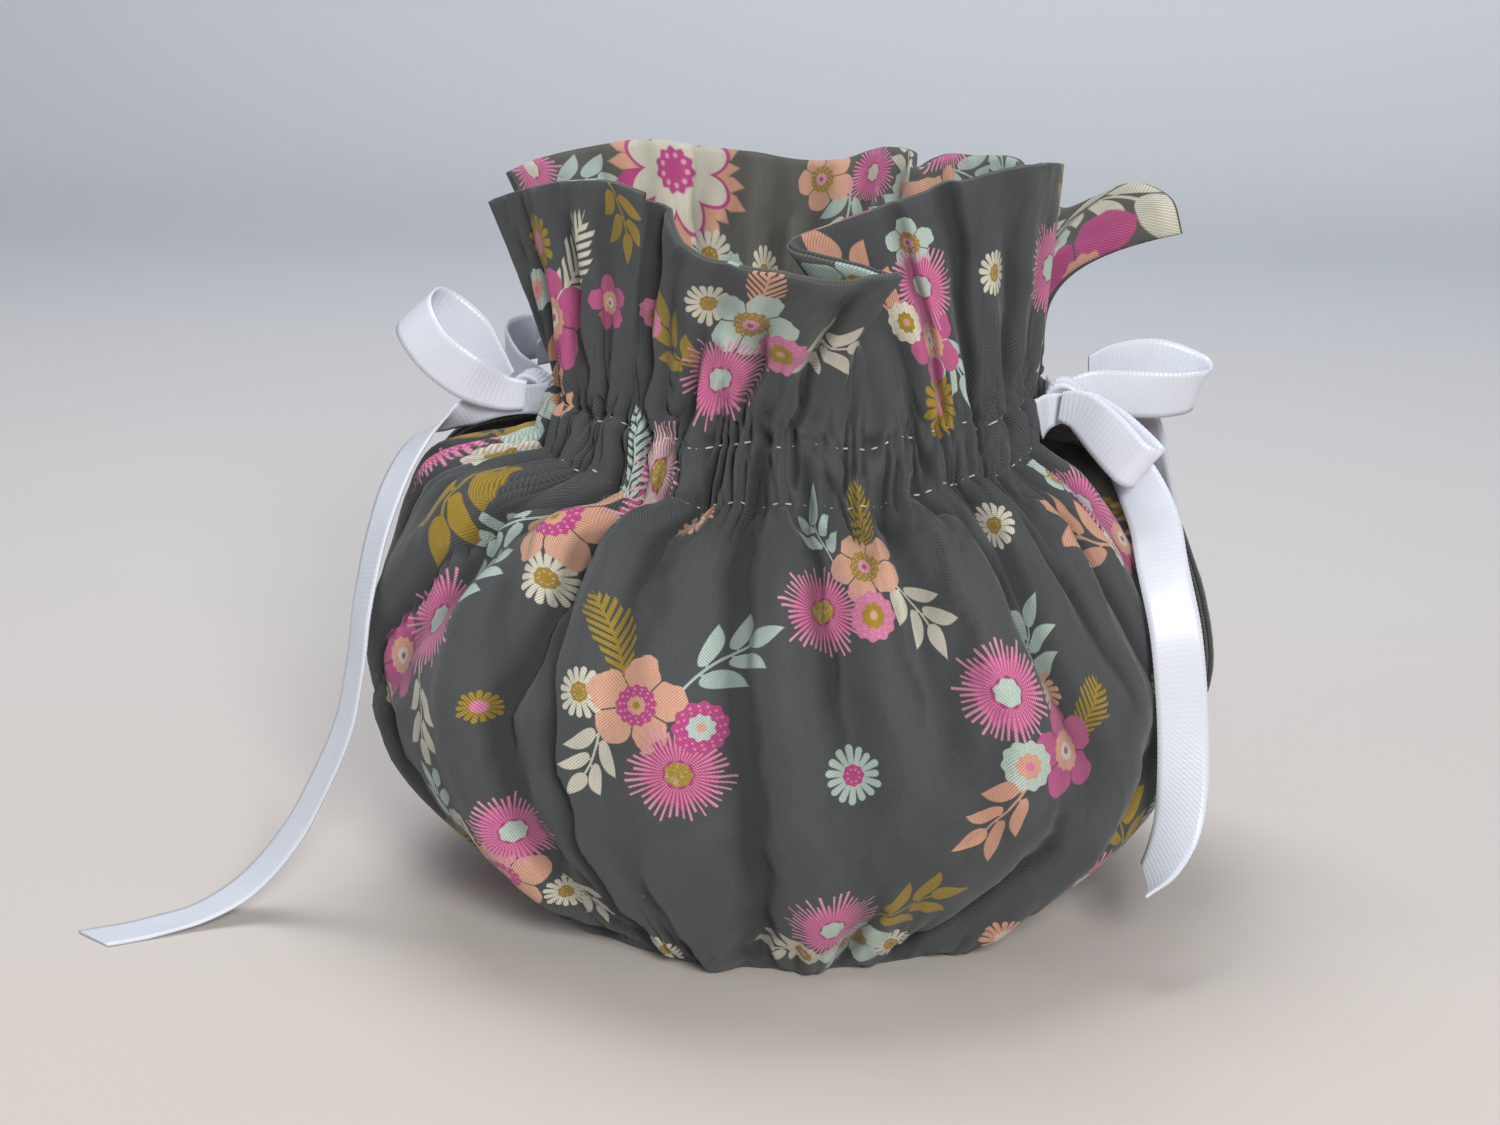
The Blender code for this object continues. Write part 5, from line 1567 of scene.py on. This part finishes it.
def ribbon_surface(route, slant):
    """Both faces of a ribbon carried along its route, (route point) + across u w / 2 + normal h, with ribs
    h = half thickness + depth (1 + cos) / 2 along it, the place on the flat ribbon, and its length.
    slant is how much shorter one edge is cut at the end: the edge at u = 1, or below zero at u = -1."""
    rows = table(route, RIBBON_COLUMNS)
    marks = np.arange(len(route), dtype=float)
    fine = np.linspace(0, len(route) - 1, 40 * len(route))
    line = np.stack([glide(marks, rows[name], fine) for name in ("x", "y", "z")], axis=-1)
    arc = np.concatenate([[0], np.cumsum(np.linalg.norm(np.diff(line, axis=0), axis=1))])
    length = arc[-1]
    u = np.linspace(-1, 1, 9)[None, :]
    station = np.linspace(0, 1, int(length / (RIB_PITCH / 5)))[:, None]
    travelled = station * (length - abs(slant) * (1 + math.copysign(1, slant) * u) / 2)
    at = np.interp(travelled, arc, fine)
    read = {name: glide(marks, rows[name], at) for name in RIBBON_COLUMNS}
    ahead = np.minimum(at + 0.02, len(route) - 1)
    behind = np.maximum(at - 0.02, 0)
    steps = [glide(marks, rows[name], ahead) - glide(marks, rows[name], behind) for name in "xyz"]
    tangent = unit(np.stack(steps, axis=-1))
    width = np.stack([read["across_x"], read["across_y"], read["across_z"]], axis=-1)
    across = unit(width - tangent * (width * tangent).sum(axis=-1, keepdims=True))
    normal = np.cross(across, tangent)
    middle = np.stack([read["x"], read["y"], read["z"]], axis=-1)
    rib = 0.5 + 0.5 * np.cos(2 * np.pi * travelled / RIB_PITCH)
    half = RIBBON_THICKNESS / 2 + RIB_DEPTH * rib * (1 - np.abs(u) ** 6)
    cup = 0.22 * (u ** 2 - 0.4) * wander(travelled, 55.0, len(route) * 0.7)
    edge = (read["width"] / 2 * (1 + 0.012 * rib * np.abs(u)))[..., None]
    centre = middle + across * u[..., None] * edge + normal * cup[..., None]
    face = centre + normal * half[..., None]
    back = centre - normal * half[..., None]
    for side in (face, back):
        side[..., 2] = np.maximum(side[..., 2], 0.02)
    return face, back, np.stack([travelled, u * read["width"] / 2, 0 * travelled], axis=-1), length


def build_ribbon(name, finish):
    """One length of grosgrain as a closed sheet that stands for its node."""
    slant = ENDS_CUT.get(name, 0.0)
    face, back, flat, length = ribbon_surface(RIBBONS[name], slant)
    piece = shell(name + "_grosgrain", placed(face), placed(back))
    corner_values(piece, "ribbon", np.concatenate([flat.reshape(-1, 3)] * 2)[corner_vertices(piece)])
    carry(piece, finish, name)
    length * MM
    name.split("_")[0] + "_knot"


def build_knot(name, finish):
    """Ribbon wound round a bow's middle: a band turned about Y, its radius read from the profile, with
    two slanting pleats lengthwise and fine ribs across, and hollow at both ends where the ribbons go in."""
    rows = table(KNOT_PROFILE, KNOT_COLUMNS)
    marks = np.arange(len(KNOT_PROFILE), dtype=float)
    fine, around = np.meshgrid(np.linspace(0, marks[-1], 71), np.linspace(0, 2 * np.pi, 121), indexing="ij")
    width, depth, height = KNOT_SIZE
    across = glide(marks, rows["across"], fine)
    pleats = 0
    for middle, sway, deep in KNOT_PLEATS:
        line = middle + KNOT_PLEAT_SWAY * np.sin(around + sway)
        pleats = pleats + deep * np.exp(-((across - line) / KNOT_PLEAT_WIDTH) ** 2)
    ribs = 0.016 * np.cos(KNOT_RIBS * around)
    oval = 0.05 * np.cos(2 * around + 1.1) + 0.03 * np.cos(3 * around)
    radius = np.maximum(glide(marks, rows["radius"], fine), 0) * (1 + oval + ribs - pleats)
    y = across * depth / 2 * (1 + 0.05 * np.cos(around - 0.7))
    points = np.stack([radius * np.cos(around) * width / 2, y, radius * np.sin(around) * height / 2], axis=-1)
    middle = np.array(KNOTS[name])
    piece = closed_piece(name + "_wrap", placed(points + middle).reshape(-1, 3), grid_quads(*fine.shape))
    x, y, z = (vertex_millimetres(piece) - ORIGIN_SHIFT - middle).T
    turn = np.arctan2(z / height, x / width) * KNOT_RIBS * RIB_PITCH / (2 * np.pi)
    corner_values(piece, "ribbon", np.stack([turn, y, 0 * turn], axis=-1)[corner_vertices(piece)])
    carry(piece, finish, name)


def closed_piece(name, vertices, quads):
    """A piece whose seams and poles are merged, with its faces pointing out."""
    piece = mesh_from(name, vertices, quads)
    bm = bmesh.new()
    bm.from_mesh(piece.data)
    bmesh.ops.remove_doubles(bm, verts=bm.verts, dist=1e-7)
    bmesh.ops.recalc_face_normals(bm, faces=bm.faces)
    bm.to_mesh(piece.data)
    bm.free()
    piece.data.shade_smooth()
    return piece


def build_side_seam(side, last_row, finish):
    """The seam that joins front and back below an opening: an oval roll between their edges, with points at
    centre + out a cos t + aside b sin t, which narrows to nothing at both ends."""
    across = np.sort([side, side * 0.998])
    row, across = np.meshgrid(np.linspace(0.5, last_row, 150), across, indexing="ij")
    column = int(side > 0)
    front, front_out = panel_surface("front", across, row)[:2]
    back, back_out = panel_surface("back", across, row)[:2]
    centre = (front + back)[:, column] / 2
    out = unit((front_out + back_out)[:, column])
    ahead = unit(np.gradient(centre, axis=0))
    aside = np.cross(ahead, out)
    station = np.linspace(-1, 1, len(centre))
    full = np.sqrt(np.clip(1 - station ** 40, 0, 1))[:, None, None]
    around = np.linspace(0, 2 * np.pi, 13)[None, :, None]
    oval = out[:, None] * SEAM_ROLL[0] * np.cos(around) + aside[:, None] * SEAM_ROLL[1] * np.sin(around)
    points = centre[:, None] + oval * full
    points[..., 2] = np.maximum(points[..., 2], 0.05)
    end = "handle" if side > 0 else "spout"
    piece = closed_piece(end + "_side_seam", placed(points).reshape(-1, 3), grid_quads(*points.shape[:2]))
    x, y, z = vertex_millimetres(piece).T
    corner_values(piece, "cloth", np.stack([y, z, 0 * x], axis=-1)[corner_vertices(piece)])
    carry(piece, finish, "front_panel")


def build_stitches(name, finish):
    """Two rows of running stitches on a panel's casing. Each is a long thin drop laid on the cloth,
    from its two ends on the surface: centre + along x + up y + out z on a unit sphere."""
    count = int(2 * HALF_WIDTH / STITCH_PITCH) - 2
    number = np.arange(count)
    middle = (number + 0.5) / count * 2 - 1
    middle = middle * 0.985 + 0.15 * STITCH_PITCH / HALF_WIDTH * wander(number, 3.1, 1.0)
    half = STITCH_LENGTH / 2 / HALF_WIDTH
    places = np.stack([middle - half, middle, middle + half], axis=1).ravel()
    circle = np.linspace(0, 2 * np.pi, STITCH_POINTS)
    around, down = np.meshgrid(circle, circle / 2, indexing="ij")
    ball = np.stack([np.cos(down), np.sin(down) * np.cos(around), np.sin(down) * np.sin(around)], axis=-1)
    drops = []
    for stitches in STITCH_ROWS:
        row, across = np.meshgrid([stitches - 0.02, stitches, stitches + 0.02], places, indexing="ij")
        points, normal = panel_surface(name, across, row)[:2]
        outward = normal[1].reshape(count, 3, 3)
        surface = points[1].reshape(count, 3, 3) + outward * (LAYER_GAP + CLOTH_THICKNESS)
        along = surface[:, 2] - surface[:, 0]
        reach = np.linalg.norm(along, axis=1, keepdims=True)
        along = along / np.maximum(reach, 1e-6)
        out = unit(outward[:, 1])
        out = unit(out - along * (out * along).sum(axis=1, keepdims=True))
        up = np.cross(out, along)
        halves = [np.clip(reach, 1.0, 2.4) / 2, 0 * reach + STITCH_WIDTH / 2, 0 * reach + STITCH_HEIGHT / 2]
        axes = np.stack([along, up, out], axis=1) * np.concatenate(halves, axis=1)[:, :, None]
        drop = surface.mean(axis=1)[:, None, None, :] + np.einsum("abk,nkc->nabc", ball, axes)
        drops.append(drop.reshape(-1, 3))
    each = STITCH_POINTS ** 2
    starts = range(0, sum(len(points) for points in drops), each)
    quads = np.concatenate([grid_quads(STITCH_POINTS, STITCH_POINTS, start) for start in starts])
    piece = closed_piece(name + "_stitches", placed(np.concatenate(drops)), quads)
    carry(piece, finish, name + "_panel")


def carry(piece, finish, node):
    """Give a piece its material, tie it to the root body, and hide the node of model.glb that it stands for.
    """
    piece.data.materials.append(finish)
    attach(piece, "root")
    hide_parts(node)


def build_layer(name, layer, outward, columns, finish, bouquets, singles):
    """The printed cloth or the lining of one panel, as a closed sheet with its print laid on it."""
    face, back, flat = cloth_layer(name, columns, outward)
    if PANELS[name]["side"] * outward > 0:
        face, back, flat = face[:, ::-1], back[:, ::-1], flat[:, ::-1]
    piece = shell(f"{name}_{layer}_cloth", face, back)
    lay_print(piece, flat, bouquets, singles)
    carry(piece, finish, f"{name}_{layer}")


# Floor, light and camera


def build_stage():
    """A pale floor that bends up behind the object in a quarter circle and goes on as a wall."""
    back, across = np.meshgrid(np.linspace(0, 1, 90), np.linspace(-6, 6, 20), indexing="ij")
    run = back * 9.0 - 6.0
    bend = np.clip((run - 1.2) / 0.8, 0, 1) * np.pi / 2
    y = np.where(run < 1.2, run, 1.2 + 0.8 * 2 / np.pi * np.sin(bend))
    z = np.where(run < 1.2, 0, 0.8 * 2 / np.pi * (1 - np.cos(bend)) + np.maximum(run - 2.0, 0))
    floor = mesh_from("floor", np.stack([across, y, z], axis=-1).reshape(-1, 3), grid_quads(90, 20))
    finish, graph, shader = new_material("paper", 0.9, 0.0)
    depth = graph.parts(object_place(graph))[1]
    towards_back = graph.clipped(depth * 0.7 + 0.35)
    # Painted light: from about a metre back the paper is painted paler, so the bend and the wall look more
    # brightly lit.
    far = graph.clipped(depth * 1.1 - 1.1)
    near = graph.mix(towards_back, linear(WARM_PAPER), linear(COOL_PAPER))
    graph.feed(shader.inputs["Base Color"], graph.mix(far, near, linear(PAINTED_LIGHT_FAR_PAPER)))
    floor.data.materials.append(finish)


def add_light(name, place, target, size, power, colour):
    """A square soft light that shines from a place towards a target."""
    lamp = bpy.data.lights.new(name, "AREA")
    lamp.size = size
    lamp.energy = power
    lamp.color = colour
    light = bpy.data.objects.new(name, lamp)
    light.location = place
    light.rotation_euler = (Vector(place) - Vector(target)).to_track_quat("Z", "Y").to_euler()
    bpy.context.scene.collection.objects.link(light)


def build_light():
    """Soft studio light: a lamp to the right, weaker ones to the left and above, one for the backdrop,
    and pale air, which is brighter where the camera sees it."""
    middle = (0.02, 0.0, 0.08)
    add_light("right softbox", (0.42, -1.00, 0.58), middle, 0.30, 13.0, (1.0, 0.98, 0.95))
    add_light("left softbox", (-0.95, -0.70, 0.45), middle, 0.5, 2.0, (0.90, 0.95, 1.0))
    add_light("top softbox", (-0.15, 0.20, 1.1), middle, 0.6, 6.0, (0.96, 0.98, 1.0))
    add_light("backdrop softbox", (0.0, 0.3, 1.5), (0.0, 2.0, 0.9), 1.0, 12.0, (0.93, 0.96, 1.0))
    world = bpy.data.worlds.new("pale air")
    bpy.context.scene.world = world
    world.use_nodes = True
    background = world.node_tree.nodes["Background"]
    background.inputs["Color"].default_value = (0.84, 0.88, 0.93, 1)
    air = Graph(world.node_tree)
    seen = Value(air, air.node("LightPath").outputs["Is Camera Ray"])
    air.feed(background.inputs["Strength"], seen * 0.35 + 0.27)
    bpy.context.scene.view_settings.view_transform = "Standard"


def build_camera():
    """The camera stands at the view's angle and distance, and aims a little left of and below the middle."""
    around, above = math.radians(VIEW_AROUND), math.radians(VIEW_ABOVE)
    back = Vector((math.sin(around) * math.cos(above), -math.cos(around) * math.cos(above), math.sin(above)))
    right = Vector((math.cos(around), math.sin(around), 0))
    up = back.cross(right)
    middle = Vector(BODY_MIDDLE)
    place = middle + back * VIEW_DISTANCE
    aim = middle - right * AIM_LEFT - up * AIM_BELOW
    lens = bpy.data.cameras.new("camera")
    lens.lens = LENS
    lens.sensor_width = 36.0
    lens.clip_start = 0.01
    camera = bpy.data.objects.new("camera", lens)
    camera.location = place * MM
    camera.rotation_euler = (place - aim).to_track_quat("Z", "Y").to_euler()
    bpy.context.scene.collection.objects.link(camera)
    bpy.context.scene.camera = camera


def build_all():
    """Cloth, linings, side seams, stitches, ribbons and knots."""
    drawings = {
        "sprig": draw_sprig, "fern": draw_fern, "burst": draw_burst, "daisy": draw_daisy,
        "petals": draw_petals, "aster": draw_aster, "button": draw_button,
    }
    groups = {kind: motif_group(kind, draw) for kind, draw in drawings.items()}
    weave = weave_group()
    small_print = [kind for kind in MOTIFS if kind != "burst"]
    outer = printed_cotton("charcoal print", CHARCOAL, groups, small_print, weave)
    inner = printed_cotton("lining print", LINING_GREY, groups, MOTIFS, weave)
    ribbon = grosgrain()
    thread = thread_finish()
    build_layer("front", "panel", 1, PANEL_COLUMNS, outer, FRONT_BOUQUETS, FRONT_SINGLES)
    build_layer("front", "lining", -1, LINING_COLUMNS, inner, FRONT_LINING_BOUQUETS, FRONT_LINING_SINGLES)
    build_layer("back", "panel", 1, PANEL_COLUMNS, outer, BACK_BOUQUETS, BACK_SINGLES)
    build_layer("back", "lining", -1, LINING_COLUMNS, inner, BACK_LINING_BOUQUETS, BACK_LINING_SINGLES)
    plain = printed_cotton("charcoal seam", CHARCOAL, groups, (), weave)
    build_side_seam(-1, SEAM_ENDS["spout"], plain)
    build_side_seam(1, SEAM_ENDS["handle"], plain)
    for name in PANELS:
        build_stitches(name, thread)
    for name in RIBBONS:
        build_ribbon(name, ribbon)
    for name in KNOTS:
        build_knot(name, ribbon)


build_all()
build_stage()
build_light()
build_camera()
